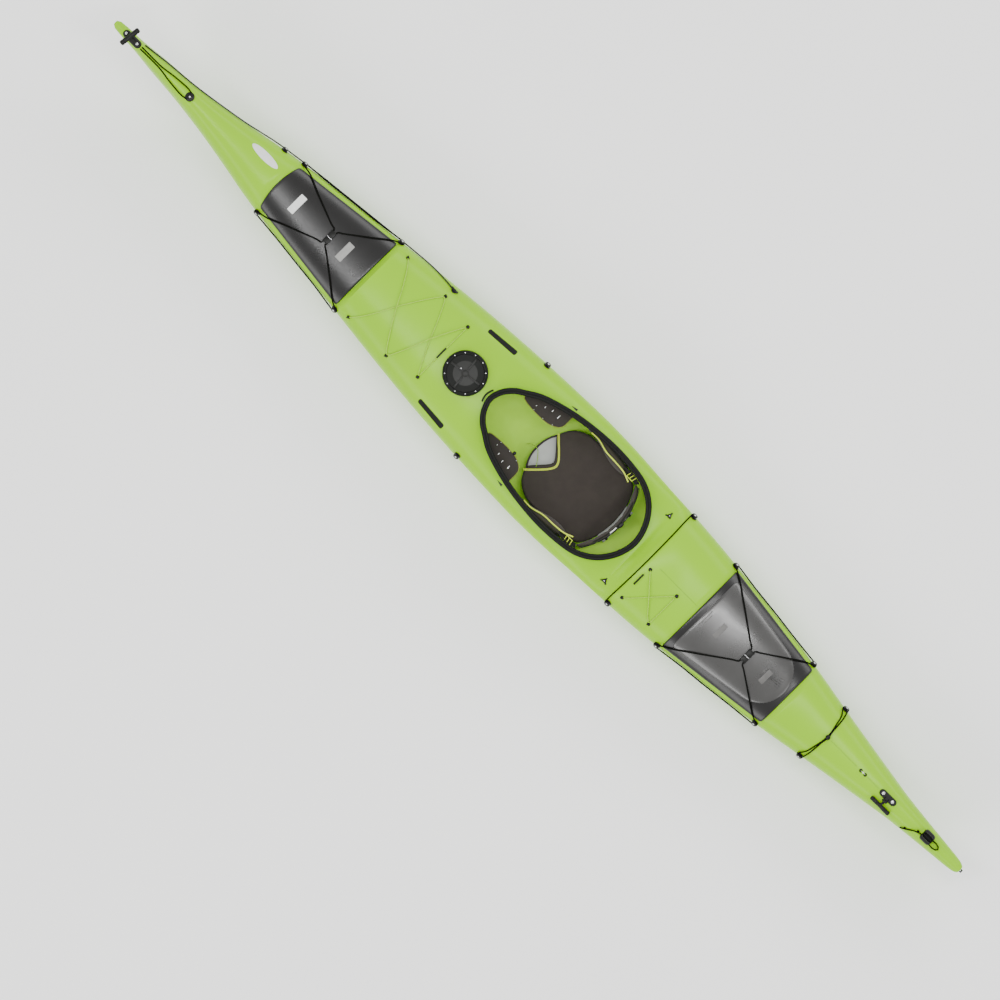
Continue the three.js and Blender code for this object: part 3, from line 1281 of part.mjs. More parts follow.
// A point at an angle round an eye's neck: 0 is aft, a quarter turn is down and a half is forward.
// Beyond is how far the line has gone on straight from there.
function roundNeck(s, side, quarterTurns, beyond = 0) {
  const seat = onDeck(s, side * EYE_TURN_SHARE, EYE_BASE + EYE_NECK / 2 + 2 * GAP);
  const down = new THREE.Vector3().crossVectors(seat.out, ALONG);
  if (down.z > 0) down.negate();
  const angle = (quarterTurns * Math.PI) / 2;
  return seat.point
    .clone()
    .addScaledVector(ALONG, -HOOK_RADIUS * Math.cos(angle) + beyond * Math.sin(angle))
    .addScaledVector(down, HOOK_RADIUS * Math.sin(angle) + beyond * Math.cos(angle));
}

// Whether a route turns sharply at one of its points
function isCorner(route, i) {
  if (i === 0 || i === route.length - 1) return false;
  const [before, at, after] = route.slice(i - 1, i + 2).map(([s, y]) => new THREE.Vector2(s, y));
  const into = at.clone().sub(before);
  return Math.abs(into.angleTo(after.sub(at))) > CORNER_TURN;
}

// A route's points with more between them, so that the line follows the deck all the way and
// turns its corners in a small bend.
function layOnDeck(route, across = turnOf) {
  const lift = LINE_RADIUS + LINE_CLEARANCE;
  const spots = route.map(([s, y, up]) => new THREE.Vector3(s, across(s, y), up));
  return spots.flatMap((spot, i) => {
    if (i === 0) return [onDeck(spot.x, spot.y, lift + spot.z).point];
    const before = spots[i - 1];
    const length = onDeck(spot.x, spot.y, 0).point.distanceTo(onDeck(before.x, before.y, 0).point);
    const count = Math.max(Math.round(length / LAY_STEP), 1);
    const shares = Array.from({ length: count }, (_, k) => (k + 1) / count);
    const bend = CORNER_STEP / length;
    if (length > LAY_STEP && isCorner(route, i - 1)) shares.splice(0, 0, bend);
    if (length > LAY_STEP && isCorner(route, i)) shares.splice(-1, 0, 1 - bend);
    return shares.map((share) => {
      const p = before.clone().lerp(spot, share);
      return onDeck(p.x, p.y, lift + p.z).point;
    });
  });
}

// The deck under a line, a little proud, which the line is kept clear of.
const deckUnder = (fromS, toS) => archBody(bracket(fromS, toS), GAP, OVERRUN);

// A hatch line: from the buckle to the fore eye, along the side to the aft eye, and back.
function makeHatchLine(hatch, side, sign) {
  const buckleY = BUCKLE_HALF_SPAN + LINE_RADIUS;
  const rest = COVER_TOP + LINE_RADIUS + LINE_CLEARANCE;
  const dome = hatch === REAR_HATCH ? DOME_HEIGHT : 0;
  const leg = (eyeS, offset) => {
    const startS = hatch.buckleS + offset;
    const eyeY = onDeck(eyeS, EYE_TURN_SHARE, 0).point.y;
    return LEG_STEPS.map((share) => {
      const s = startS + (eyeS - startS) * share;
      const turn = turnOf(s, buckleY + (eyeY - buckleY) * share);
      return onDeck(s, sign * turn, rest + (share < LEG_STEPS.at(-1) ? dome : 0)).point;
    });
  };
  const end = (offset) => {
    const z = coverTopZ(hatch) + BUCKLE_HEIGHT / 2;
    const y = BUCKLE_HALF_SPAN - LINE_RADIUS;
    return [
      place(hatch.buckleS + offset, sign * y, z),
      place(hatch.buckleS + 1.5 * offset, sign * (y + 4 * LINE_RADIUS), z),
    ];
  };
  const spread = BUCKLE_LENGTH / 4;
  const sideRun = SIDE_RUN_STEPS.map((share) => {
    const s = hatch.foreEyeS + (hatch.aftEyeS - hatch.foreEyeS) * share;
    return onDeck(s, sign * SIDE_RUN_SHARE, EYE_BASE + EYE_NECK / 2).point;
  });
  const path = [
    ...end(-spread), ...leg(hatch.foreEyeS, -spread),
    roundNeck(hatch.foreEyeS, sign, FORE_HOOK_TURNS.at(0), HOOK_EXIT),
    ...FORE_HOOK_TURNS.map((q) => roundNeck(hatch.foreEyeS, sign, q)),
    ...sideRun,
    ...AFT_HOOK_TURNS.map((q) => roundNeck(hatch.aftEyeS, sign, q)),
    roundNeck(hatch.aftEyeS, sign, AFT_HOOK_TURNS.at(-1), -HOOK_EXIT),
    ...leg(hatch.aftEyeS, spread).toReversed(), ...end(spread).toReversed(),
  ];
  const buckle = block(
    hatch.buckleS, 0, 0, 2 * BUCKLE_LENGTH, 2 * (BUCKLE_HALF_SPAN + GAP), TALL,
  );
  const line = tube(path, LINE_RADIUS).subtract(buckle);
  add(`${hatch.name}_hatch_line_${side}`, line, "cord");
}

function makeHatchLines() {
  for (const [side, sign] of SIDES) {
    makeHatchLine(FRONT_HATCH, side, sign);
    makeHatchLine(REAR_HATCH, side, sign);
  }
}

// A small ball round a point.
function ball(at, radius) {
  const half = Array.from({ length: 5 }, (_, i) => {
    const angle = (Math.PI * i) / 4;
    return [radius * Math.sin(angle) * Number(i % 4 > 0), -radius * Math.cos(angle)];
  });
  return turned(half, at, UP, LINE_SIDES);
}

// A round foot standing on the deck
function footed(s, turn, radius, height) {
  const seat = onDeck(s, turn, GAP);
  const foot = seat.point.addScaledVector(seat.out, -2 * SHEET_BURY);
  return rod(radius, foot, seat.out, height, LINE_SIDES).subtract(deckSeat(s, 2 * radius));
}

// A small anchor button on the deck, which an elastic is hooked to
const anchor = (s, y, radius = ANCHOR_RADIUS, height = ANCHOR_HEIGHT) =>
  footed(s, turnOf(s, y), radius, height);

// A deck elastic laced between its anchors, made in one with them.
function makeLacing(name, route, finish) {
  const places = route.map(([s]) => s);
  const under = deckUnder(Math.min(...places) - OVERRUN, Math.max(...places) + OVERRUN);
  const line = tube(layOnDeck(route), LINE_RADIUS).subtract(under);
  add(name, join(line, ...lacingAnchors(route)), finish);
}

// The anchors stand where the route turns at its outer corners.
function lacingAnchors(route) {
  const [low, high] = [Math.min(...route.map(([, y]) => y)), Math.max(...route.map(([, y]) => y))];
  const middle = (low + high) / 2;
  const reach = (high - low) / 4;
  return route.filter(([, y]) => Math.abs(y - middle) > reach).map(([s, y]) => anchor(s, y));
}

function makeBowLoop() {
  const route = layOnDeck(BOW_LOOP_ROUTE);
  const eye = anchor(BOW_EYE_S, 0, BOW_EYE_RADIUS, BOW_EYE_HEIGHT);
  const washer = anchor(BOW_EYE_S, 0, BOW_EYE_RADIUS + 2 * LINE_RADIUS, 2 * SHEET_BURY);
  const loop = join(tube(route, LINE_RADIUS), eye, washer);
  add("bow_loop", loop.subtract(deckUnder(BOW_PLATE_S, BOW_EYE_S + 2 * OVERRUN)), "cord");
}

function makePainter() {
  const asGiven = (s, turn) => turn;
  const path = [
    ...layOnDeck(PAINTER_FORE_ROUTE, asGiven), roundNeck(PAINTER_EYE_S, -1, 1),
    ...layOnDeck(PAINTER_AFT_ROUTE, asGiven),
  ];
  const [startS] = PAINTER_FORE_ROUTE[0];
  const [endS, endTurn] = PAINTER_AFT_ROUTE.at(-1);
  const cleat = footed(endS, endTurn, ANCHOR_RADIUS + LINE_RADIUS, ANCHOR_HEIGHT);
  const under = deckUnder(startS - OVERRUN, endS + OVERRUN);
  add("painter_line", join(tube(path, LINE_RADIUS).subtract(under), cleat), "cord");
}

// The tow line across the back deck, between the necks of its two eyes.
function makeTowLine() {
  const over = TOW_SPAN_TURNS.map(
    (turn) => onDeck(TOW_EYE_S - HOOK_RADIUS, turn, LINE_RADIUS + LINE_CLEARANCE),
  );
  const path = [
    ...TOW_HOOK_TURNS.map((q) => roundNeck(TOW_EYE_S, 1, q)),
    roundNeck(TOW_EYE_S, 1, TOW_HOOK_TURNS.at(-1), HOOK_EXIT),
    ...over.map(({ point }) => point),
    roundNeck(TOW_EYE_S, -1, TOW_HOOK_TURNS.at(-1), HOOK_EXIT),
    ...TOW_HOOK_TURNS.toReversed().map((q) => roundNeck(TOW_EYE_S, -1, q)),
  ];
  add("tow_line", tube(path, LINE_RADIUS), "cord");
}

// The doubled elastic on the stern deck: a loop round each eye, drawn together by a bead.
function makeSternBungee() {
  const strand = (sign, offset) =>
    STERN_STRAND_TURNS.map((turn) => {
      const s = BEAD_S + (STERN_EYE_S + offset - BEAD_S) * turn;
      return onDeck(s, sign * turn, LINE_RADIUS + LINE_CLEARANCE);
    });
  const loops = SIDES.map(([, sign]) => {
    const reach = HOOK_RADIUS;
    const fore = strand(sign, -reach).map(({ point }) => point);
    const aft = strand(sign, reach).map(({ point }) => point);
    const round = [
      roundNeck(STERN_EYE_S, sign, STERN_HOOK_TURNS.at(0), HOOK_EXIT),
      ...STERN_HOOK_TURNS.map((q) => roundNeck(STERN_EYE_S, sign, q)),
      roundNeck(STERN_EYE_S, sign, STERN_HOOK_TURNS.at(-1), -HOOK_EXIT),
    ];
    const middle = onDeck(BEAD_S, 0, BEAD_RADIUS).point;
    const start = middle.clone().addScaledVector(ALONG, BEAD_RADIUS / 3);
    const end = middle.clone().addScaledVector(ALONG, -BEAD_RADIUS / 3);
    return tube([start, ...fore, ...round, ...aft.toReversed(), end], LINE_RADIUS);
  });
  const bead = ball(onDeck(BEAD_S, 0, BEAD_RADIUS).point, BEAD_RADIUS);
  const under = deckUnder(STERN_EYE_S - 2 * OVERRUN, BEAD_S + OVERRUN);
  add("stern_bungee", join(...loops, bead).subtract(under), "cord");
}

// The wire bail on the stern deck, on two feet
function makeBail() {
  const reach = BAIL_SPAN / 2;
  const z = deckZ(BAIL_S, 0);
  const arch = Array.from({ length: 9 }, (_, i) => {
    const angle = (Math.PI * i) / 8;
    return place(BAIL_S - reach * Math.cos(angle), 0, z + BAIL_HEIGHT * Math.sin(angle));
  });
  const feet = [-reach, reach].map((along) => anchor(BAIL_S + along, 0, BAIL_FOOT_RADIUS));
  const wire = tube(arch, BAIL_WIRE_RADIUS);
  const under = deckUnder(BAIL_S - 2 * BAIL_SPAN, BAIL_S + 2 * BAIL_SPAN);
  add("stern_bail", join(wire, ...feet).subtract(under), "alloy");
}

// The rest for a stowed rudder blade, with its elastic loop and tie
function makeRudderRest() {
  const z = deckZ(REST_S, 0);
  const top = z + REST_HEIGHT;
  const groove = rod(
    REST_GROOVE_RADIUS, place(REST_S + REST_LENGTH, 0, top), ALONG, 2 * REST_LENGTH,
  );
  const half = REST_WIDTH / 2;
  const outline = oval(REST_S, 0, REST_LENGTH, REST_WIDTH / 2, 4);
  const stem = prism(outline, z - OVERRUN, top);
  const shoulders = block(REST_S, 0, z - OVERRUN, REST_LENGTH - 4 * REST_FOOT, REST_WIDTH, OVERRUN + half);
  const cords = [REST_LOOP_ROUTE, REST_TIE_ROUTE].map((route) =>
    tube(layOnDeck(route), LINE_RADIUS * THIN_LINE_SHARE));
  const knots = [1, 3].map((i) => {
    const [s, y, up] = REST_TIE_ROUTE[i];
    return ball(onDeck(s, turnOf(s, y), LINE_RADIUS + LINE_CLEARANCE + up).point, KNOT_RADIUS);
  });
  const under = deckUnder(REST_S - 2 * REST_LENGTH - OVERRUN, REST_S + 2 * REST_LENGTH);
  const rest = join(stem, shoulders).subtract(groove);
  add("rudder_rest", join(rest, ...cords, ...knots).subtract(under), "nylon");
}

function makeRudderBush() {
  const s = HULL_LENGTH + GAP + BUSH_DEPTH / 2;
  const body = block(s, 0, BUSH_BASE_Z, BUSH_DEPTH, BUSH_WIDTH, BUSH_HEIGHT);
  const bore = rod(
    BUSH_BORE / 2, place(s, 0, BUSH_BASE_Z - OVERRUN), UP, BUSH_HEIGHT + 2 * OVERRUN,
  );
  add("rudder_bush", body.subtract(bore), "nylon");
}

makeHull();
makeDeck();
makeCoamingTrim();
makeBulkheads();
makeHatches();
makeBuckle(FRONT_HATCH);
makeBuckle(REAR_HATCH);
makeHatchLines();
makeEyes();
makeDayHatch();
makeSeat();
makeThighBraces();
makeFootBraces();
makeBowHandle();
makeSternHandle();
makeBowLoop();
makePainter();
makeLacing("foredeck_elastic", FOREDECK_ROUTE, "elastic");
makeLacing("aft_deck_elastic", AFT_DECK_ROUTE, "elastic");
makeTowLine();
makeSternBungee();
makeBail();
makeRudderRest();
makeRudderBush();

export default kayak;
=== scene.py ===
"""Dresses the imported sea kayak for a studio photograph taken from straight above.

Lengths are given in millimetres along the boat (s, from the bow), across it (y, to port) and up
(z), and are turned into the frame's metres where meshes are made.
"""

from __future__ import annotations

import logging
from dataclasses import dataclass, field
from enum import Enum
from math import asin, copysign, cos, dist, exp, hypot, pi, radians, sin, sqrt, tau
from typing import Callable, Iterable, Sequence

import bmesh
import bpy
from mathutils import Matrix, Vector, noise


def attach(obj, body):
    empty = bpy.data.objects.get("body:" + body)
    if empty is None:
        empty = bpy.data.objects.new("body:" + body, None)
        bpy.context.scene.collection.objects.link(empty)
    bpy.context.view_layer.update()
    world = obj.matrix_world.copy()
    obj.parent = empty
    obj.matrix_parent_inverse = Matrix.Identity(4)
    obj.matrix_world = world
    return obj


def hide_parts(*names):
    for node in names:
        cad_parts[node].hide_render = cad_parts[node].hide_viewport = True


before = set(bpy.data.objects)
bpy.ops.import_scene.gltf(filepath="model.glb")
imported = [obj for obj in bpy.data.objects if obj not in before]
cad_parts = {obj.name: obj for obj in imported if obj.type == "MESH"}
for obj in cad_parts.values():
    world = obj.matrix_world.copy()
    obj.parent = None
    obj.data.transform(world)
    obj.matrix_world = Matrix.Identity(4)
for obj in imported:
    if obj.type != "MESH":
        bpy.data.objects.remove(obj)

LOG = logging.getLogger("kayak")
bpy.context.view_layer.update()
MM = 0.001
MIDDLE_S = 2585.0
UP = Vector((0, 0, 1)).freeze()
FORE = Vector((1, 0, 0)).freeze()
SIDES = (("port", 1), ("starboard", -1))
Ring = list[Vector]
Table = Outline = Sequence[tuple[float, float]]
Route = Sequence[tuple[float, float, float]]
Material = bpy.types.Material
Shader = bpy.types.Node
Socket = bpy.types.NodeSocket
Piece = bpy.types.Object


# Lines of the boat
def on_curve(table: Table, share: float) -> float:
    """The value of a table at a share, on a smooth curve that doesn't overshoot.

    Args:
        table: Pairs of share and value, in rising order of share.
        share: Where to read the curve.

    Returns:
        The value there.
    """
    last = len(table) - 1
    if share <= table[0][0]:
        return table[0][1]
    if share >= table[last][0]:
        return table[last][1]

    def chord(k: int) -> float:
        """The slope of one span."""
        return (table[k + 1][1] - table[k][1]) / (table[k + 1][0] - table[k][0])

    def slope(k: int) -> float:
        """The curve's slope at a knot.

        Args:
            k: The knot's number.

        Returns:
            The slope, which is 0 where the curve turns.
        """
        if k == 0:
            return chord(0)
        if k == last:
            return chord(last - 1)
        before, after = chord(k - 1), chord(k)
        return 0.0 if before * after <= 0 else 2 * before * after / (before + after)

    i = next(k for k in range(last) if share < table[k + 1][0])
    span = table[i + 1][0] - table[i][0]
    t = (share - table[i][0]) / span
    rise = table[i + 1][1] - table[i][1]
    a, b = slope(i) * span, slope(i + 1) * span
    return table[i][1] + a * t + (3 * rise - 2 * a - b) * t**2 + (a + b - 2 * rise) * t**3


def swelled(value: float, power: float) -> float:
    """A sine or cosine drawn out by a power, with its sign kept."""
    return copysign(abs(value) ** power, value)


def smooth_step(t: float) -> float:
    """A smooth rise from 0 at t = 0 to 1 at t = 1."""
    t = min(max(t, 0.0), 1.0)
    return t * t * (3 - 2 * t)


def place(s: float, y: float, z: float) -> Vector:
    """A point of the boat in the frame's metres."""
    return Vector(((MIDDLE_S - s) * MM, y * MM, z * MM))


@dataclass(frozen=True)
class Row:
    """The boat's measures at one place along it, in millimetres."""

    s: float
    half: float
    keel: float
    seam: float
    crown: float
    chine_half: float
    chine_z: float
    flat_half: float


@dataclass(frozen=True)
class BoatLines:
    """The lines of the boat, as shares of its length and of the size named in each field."""

    length: float = 5154.7
    bow_height: float = 388.0
    half_beam: float = 293.0
    crown: Table = (
        (0, 1), (0.0227, 0.987), (0.05, 0.966), (0.0873, 0.92), (0.1253, 0.879), (0.1505, 0.863),
        (0.1843, 0.848), (0.1886, 0.827), (0.2506, 0.796), (0.2968, 0.791), (0.3003, 0.851),
        (0.323, 0.858), (0.3802, 0.871), (0.4248, 0.881), (0.4462, 0.884), (0.485, 0.851),
        (0.5335, 0.807), (0.5723, 0.765), (0.6033, 0.701), (0.6188, 0.686), (0.6256, 0.732),
        (0.6328, 0.804), (0.6402, 0.809), (0.6634, 0.791), (0.6883, 0.781), (0.691, 0.76),
        (0.7371, 0.742), (0.7969, 0.688), (0.8, 0.714), (0.8274, 0.724), (0.8776, 0.745),
        (0.9026, 0.763), (0.9529, 0.768), (1, 0.765),
    )
    keel: Table = (
        (0, 0.959), (0.0048, 0.876), (0.0116, 0.786), (0.0227, 0.67), (0.0491, 0.407),
        (0.0778, 0.245), (0.1042, 0.178), (0.1505, 0.137), (0.2006, 0.098), (0.2506, 0.072),
        (0.3009, 0.052), (0.3509, 0.028), (0.4012, 0.013), (0.4462, 0), (0.6014, 0),
        (0.6518, 0.021), (0.702, 0.036), (0.7523, 0.057), (0.8023, 0.075), (0.8524, 0.098),
        (0.9026, 0.126), (0.9575, 0.157), (0.9767, 0.196), (0.9887, 0.291), (0.9971, 0.418),
        (1, 0.552),
    )
    seam: Table = (
        (0, 0.979), (0.0227, 0.881), (0.0468, 0.794), (0.097, 0.701), (0.1746, 0.613),
        (0.298, 0.559), (0.4436, 0.559), (0.6343, 0.508), (0.6949, 0.482), (0.8014, 0.474),
        (0.8485, 0.503), (0.9117, 0.572), (0.9699, 0.649), (1, 0.696),
    )
    beam: Table = (
        (0, 0.044), (0.0023, 0.068), (0.025, 0.092), (0.05, 0.137), (0.0753, 0.171),
        (0.1003, 0.222), (0.1253, 0.287), (0.1505, 0.365), (0.1756, 0.447), (0.2006, 0.512),
        (0.2506, 0.614), (0.3009, 0.71), (0.3509, 0.809), (0.4012, 0.894), (0.4512, 0.952),
        (0.5015, 0.99), (0.5265, 1), (0.5517, 0.993), (0.6017, 0.942), (0.6518, 0.894),
        (0.702, 0.812), (0.7523, 0.717), (0.8023, 0.59), (0.8524, 0.437), (0.8776, 0.365),
        (0.9026, 0.294), (0.9276, 0.225), (0.9529, 0.174), (0.9779, 0.13), (0.9913, 0.106),
        (0.9981, 0.085), (1, 0.065),
    )
    chine_height: Table = (
        (0, 0.45), (0.167, 0.39), (0.344, 0.24), (0.459, 0.12), (0.58, 0.12), (0.68, 0.196),
        (0.8, 0.335), (0.9, 0.42), (1, 0.45),
    )
    chine_width: Table = (
        (0, 0.6), (0.1, 0.5), (0.25, 0.64), (0.42, 0.84), (0.6, 0.86), (0.75, 0.77),
        (0.88, 0.6), (1, 0.6),
    )
    flat_width: Table = (
        (0, 0.25), (0.05, 0.12), (0.2, 0.08), (0.4, 0.36), (0.446, 0.42), (0.6, 0.42),
        (0.68, 0.3), (0.8, 0.1), (0.95, 0.12), (1, 0.25),
    )
    side_bulge: float = 0.3
    bottom_bulge: float = 0.35

    def row(self, s: float) -> Row:
        """The boat's measures at one place.

        Args:
            s: The place along the boat.

        Returns:
            The measures.
        """
        share = min(max(s / self.length, 0.0), 1.0)
        half = self.half_beam * on_curve(self.beam, share)
        keel = self.bow_height * on_curve(self.keel, share)
        seam = self.bow_height * on_curve(self.seam, share)
        chine_half = half * on_curve(self.chine_width, share)
        crown = self.bow_height * on_curve(self.crown, share)
        chine_z = keel + (seam - keel) * on_curve(self.chine_height, share)
        flat_half = chine_half * on_curve(self.flat_width, share)
        return Row(s, half, keel, seam, crown, chine_half, chine_z, flat_half)

    def hull_half(self, row: Row, side_steps: int, floor_steps: int) -> Outline:
        """One side of the hull at a row, from the seam down to the middle of the floor.

        Args:
            row: The measures there.
            side_steps: Points down the side.
            floor_steps: Points across the floor.

        Returns:
            Places across and heights.
        """

        def bulged(a: Vector, b: Vector, t: float, share: float) -> Vector:
            """A point between two, drawn towards their outer corner."""
            return a.lerp(b, t).lerp(Vector((a.x, b.y)), share * 4 * t * (1 - t))

        seam = Vector((row.half, row.seam))
        chine = Vector((row.chine_half, row.chine_z))
        flat = Vector((row.flat_half, row.keel))
        side = [bulged(seam, chine, k / side_steps, self.side_bulge) for k in range(side_steps)]
        floor = [bulged(chine, flat, k / floor_steps, self.bottom_bulge) for k in range(floor_steps)]
        return [(p.x, p.y) for p in [*side, *floor, flat]]

    def on_deck(self, s: float, turn: float, lift: float = 0.0) -> Vector:
        """A point on the deck or off it.

        Args:
            s: The place along the boat.
            turn: The turn round the deck, from -1 at the starboard gunwale to 1 at the port one.
            lift: The distance off the deck.

        Returns:
            The point.
        """
        row = self.row(s)
        angle = (1 - turn) * pi / 2
        rise = row.crown - row.seam
        out = Vector((cos(angle) * rise, sin(angle) * row.half)).normalized()
        y = row.half * cos(angle) + out.x * lift
        return place(s, y, row.seam + rise * sin(angle) + out.y * lift)

    def turn_of(self, s: float, y: float) -> float:
        """The turn round the deck at which it is y off the centreline."""
        share = min(max(y / self.row(s).half, -1.0), 1.0)
        return asin(share) / (pi / 2)

    def above(self, s: float, y: float, lift: float = 0.0) -> Vector:
        """The deck's point at s and y, a lift off its surface."""
        return self.on_deck(s, self.turn_of(s, y), lift)

    def out(self, s: float, turn: float) -> Vector:
        """The outward direction of the deck."""
        return (self.on_deck(s, turn, 10.0) - self.on_deck(s, turn, 0.0)).normalized()


BOAT = BoatLines()


# Materials
def linear(colour: str) -> tuple[float, float, float, float]:
    """An sRGB hex colour as the linear colour that shaders take."""
    parts = [int(colour[i : i + 2], 16) / 255 for i in (1, 3, 5)]
    return (*(c / 12.92 if c <= 0.04045 else ((c + 0.055) / 1.055) ** 2.4 for c in parts), 1.0)


def add_node(material: Material, kind: str, inputs: dict | None = None, **settings: object) -> bpy.types.Node:
    """Adds a shader node.

    Args:
        material: The material that gets the node.
        kind: The node's type name.
        inputs: Socket values or the sockets that feed them, by socket name or number.
        settings: Properties of the node.

    Returns:
        The new node.
    """
    tree = material.node_tree
    node = tree.nodes.new(kind)
    for name, value in settings.items():
        setattr(node, name, value)
    for name, value in (inputs or {}).items():
        if isinstance(value, bpy.types.NodeSocket):
            tree.links.new(value, node.inputs[name])
        else:
            node.inputs[name].default_value = value
    return node


@dataclass(frozen=True)
class Finish:
    """A finish: its name, its colours, its slot and how its surface is worked."""

    name: str
    base: str
    shade: str
    slot: str = "nylon"
    roughness: float = 0.5
    roughness_spread: float = 0.08
    mottle_mm: float = 40.0
    mottle: float = 0.5
    grain_mm: float = 1.0
    bump_mm: float = 0.05
    coat: float = 0.0
    coat_roughness: float = 0.08
    specular: float = 0.5
    metallic: float = 0.0
    sheen: float = 0.0

    def start(self) -> tuple[Material, Shader]:
        """Starts the material.

        Returns:
            The new material and its principled shader.
        """
        material = bpy.data.materials.new(self.name)
        material.use_nodes = True
        shader = material.node_tree.nodes["Principled BSDF"]
        for name, value in (
            ("Metallic", self.metallic), ("Specular IOR Level", self.specular), ("Coat Weight", self.coat),
            ("Coat Roughness", self.coat_roughness), ("Sheen Weight", self.sheen),
        ):
            shader.inputs[name].default_value = value
        return material, shader

    def mottled(self, material: Material, shader: Shader, coordinates: Socket) -> None:
        """Makes colour and roughness drift slowly over the surface.

        Args:
            material: The material.
            shader: Its principled shader.
            coordinates: The socket that places the drift on the surface.
        """
        clouds = {"Vector": coordinates, "Scale": 1 / (self.mottle_mm * MM), "Detail": 4.0}
        drift = add_node(material, "ShaderNodeTexNoise", clouds).outputs["Fac"]
        share = {"Value": drift, "From Min": 0.3, "From Max": 0.7, "To Min": 0.0, "To Max": self.mottle}
        ramp = add_node(material, "ShaderNodeMapRange", share).outputs["Result"]
        colours = {"Factor": ramp, 6: linear(self.base), 7: linear(self.shade)}
        mix = add_node(material, "ShaderNodeMix", colours, data_type="RGBA")
        low, high = self.roughness - self.roughness_spread, self.roughness + self.roughness_spread
        rough = add_node(material, "ShaderNodeMapRange", {"Value": drift, "To Min": low, "To Max": high})
        links = material.node_tree.links
        links.new(mix.outputs[2], shader.inputs["Base Color"])
        links.new(rough.outputs["Result"], shader.inputs["Roughness"])

    def bumped(self, material: Material, shader: Shader, height: Socket) -> None:
        """Adds the finish's relief as bump."""
        depth = {"Height": height, "Distance": self.bump_mm * MM, "Strength": 1.0}
        bump = add_node(material, "ShaderNodeBump", depth)
        material.node_tree.links.new(bump.outputs["Normal"], shader.inputs["Normal"])

    def relief(self, material: Material, coordinates: Socket) -> Socket:
        """The height of the surface's own pattern, which each kind of finish names."""
        raise NotImplementedError

    def build(self) -> Material:
        """Makes the material.

        Returns:
            The finished material.
        """
        material, shader = self.start()
        coordinates = add_node(material, "ShaderNodeTexCoord").outputs["Object"]
        self.mottled(material, shader, coordinates)
        self.bumped(material, shader, self.relief(material, coordinates))
        return material


@dataclass(frozen=True)
class Moulded(Finish):
    """Moulded plastic, rubber or gelcoat: a mottled colour with a fine even grain."""

    def relief(self, material: Material, coordinates: Socket) -> Socket:
        """The height of the grain."""
        grain = {"Vector": coordinates, "Scale": 1 / (self.grain_mm * MM), "Detail": 3.0, "Roughness": 0.6}
        return add_node(material, "ShaderNodeTexNoise", grain).outputs["Fac"]


@dataclass(frozen=True)
class Pebbled(Finish):
    """Rubber or foam with a pebbled surface of small cells."""

    def relief(self, material: Material, coordinates: Socket) -> Socket:
        """The height of the cells."""
        cells = {"Vector": coordinates, "Scale": 1 / (self.grain_mm * MM)}
        return add_node(material, "ShaderNodeTexVoronoi", cells).outputs["Distance"]


@dataclass(frozen=True)
class Woven(Finish):
    """Woven cloth: two crossing sets of threads, a grain's width apart."""

    # The wave texture repeats every 0.314 / scale: half of that is one thread.
    threads_per_wave: float = 0.16

    def relief(self, material: Material, coordinates: Socket) -> Socket:
        """The height of the threads, at the coordinates.

        Args:
            material: The material.
            coordinates: The socket that places the pattern.

        Returns:
            The socket that gives the height.
        """
        scale = self.threads_per_wave / (self.grain_mm * MM)
        threads = {"Vector": coordinates, "Scale": scale, "Distortion": 0.4}
        waves = [
            add_node(material, "ShaderNodeTexWave", threads, bands_direction=way).outputs["Fac"]
            for way in ("X", "Y")
        ]
        crossed = add_node(material, "ShaderNodeMath", dict(enumerate(waves)), operation="MAXIMUM")
        return crossed.outputs["Value"]


@dataclass(frozen=True)
class Braided(Finish):
    """Braided cord: strands that cross on a slant, read from the tube's own map, and flecks."""

    fleck: str = "#5a5c4e"
    fleck_share: float = 0.25
    turns: float = 4.0

    def relief(self, material: Material, coordinates: Socket) -> Socket:
        """The height of the strands, from the map round and along the cord.

        Args:
            material: The material.
            coordinates: The socket that places the pattern.

        Returns:
            The socket that gives the height.
        """
        parts = add_node(material, "ShaderNodeSeparateXYZ", {"Vector": coordinates}).outputs

        def sum_up(operation: str, *terms: object) -> Socket:
            """The result of one step of arithmetic."""
            step = add_node(material, "ShaderNodeMath", dict(enumerate(terms)), operation=operation)
            return step.outputs["Value"]

        strands = []
        for sign in (1.0, -1.0):
            turned = sum_up("MULTIPLY_ADD", parts["X"], self.turns * sign, parts["Y"])
            strands.append(sum_up("SINE", sum_up("MULTIPLY", turned, tau)))
        return sum_up("MAXIMUM", *strands)

    def build(self) -> Material:
        """Makes the material, with its flecks on the strands' crests.

        Returns:
            The finished material.
        """
        material, shader = self.start()
        crossed = self.relief(material, add_node(material, "ShaderNodeTexCoord").outputs["UV"])
        crest = {0: crossed, 1: 1 - self.fleck_share}
        flecked = add_node(material, "ShaderNodeMath", crest, operation="GREATER_THAN")
        colours = {"Factor": flecked.outputs["Value"], 6: linear(self.base), 7: linear(self.fleck)}
        mix = add_node(material, "ShaderNodeMix", colours, data_type="RGBA")
        material.node_tree.links.new(mix.outputs[2], shader.inputs["Base Color"])
        shader.inputs["Roughness"].default_value = self.roughness
        self.bumped(material, shader, crossed)
        return material


@dataclass(frozen=True)
class Brushed(Finish):
    """Metal with fine brushing along one axis."""

    stretch: float = 0.03

    def relief(self, material: Material, coordinates: Socket) -> Socket:
        """The height of the brush lines.

        Args:
            material: The material.
            coordinates: The socket that places the pattern.

        Returns:
            The socket that gives the height.
        """
        along = {"Vector": coordinates, "Scale": (self.stretch, 1.0, 1.0)}
        stretched = add_node(material, "ShaderNodeMapping", along).outputs["Vector"]
        lines = {"Vector": stretched, "Scale": 1 / (self.grain_mm * MM), "Detail": 2.0}
        return add_node(material, "ShaderNodeTexNoise", lines).outputs["Fac"]


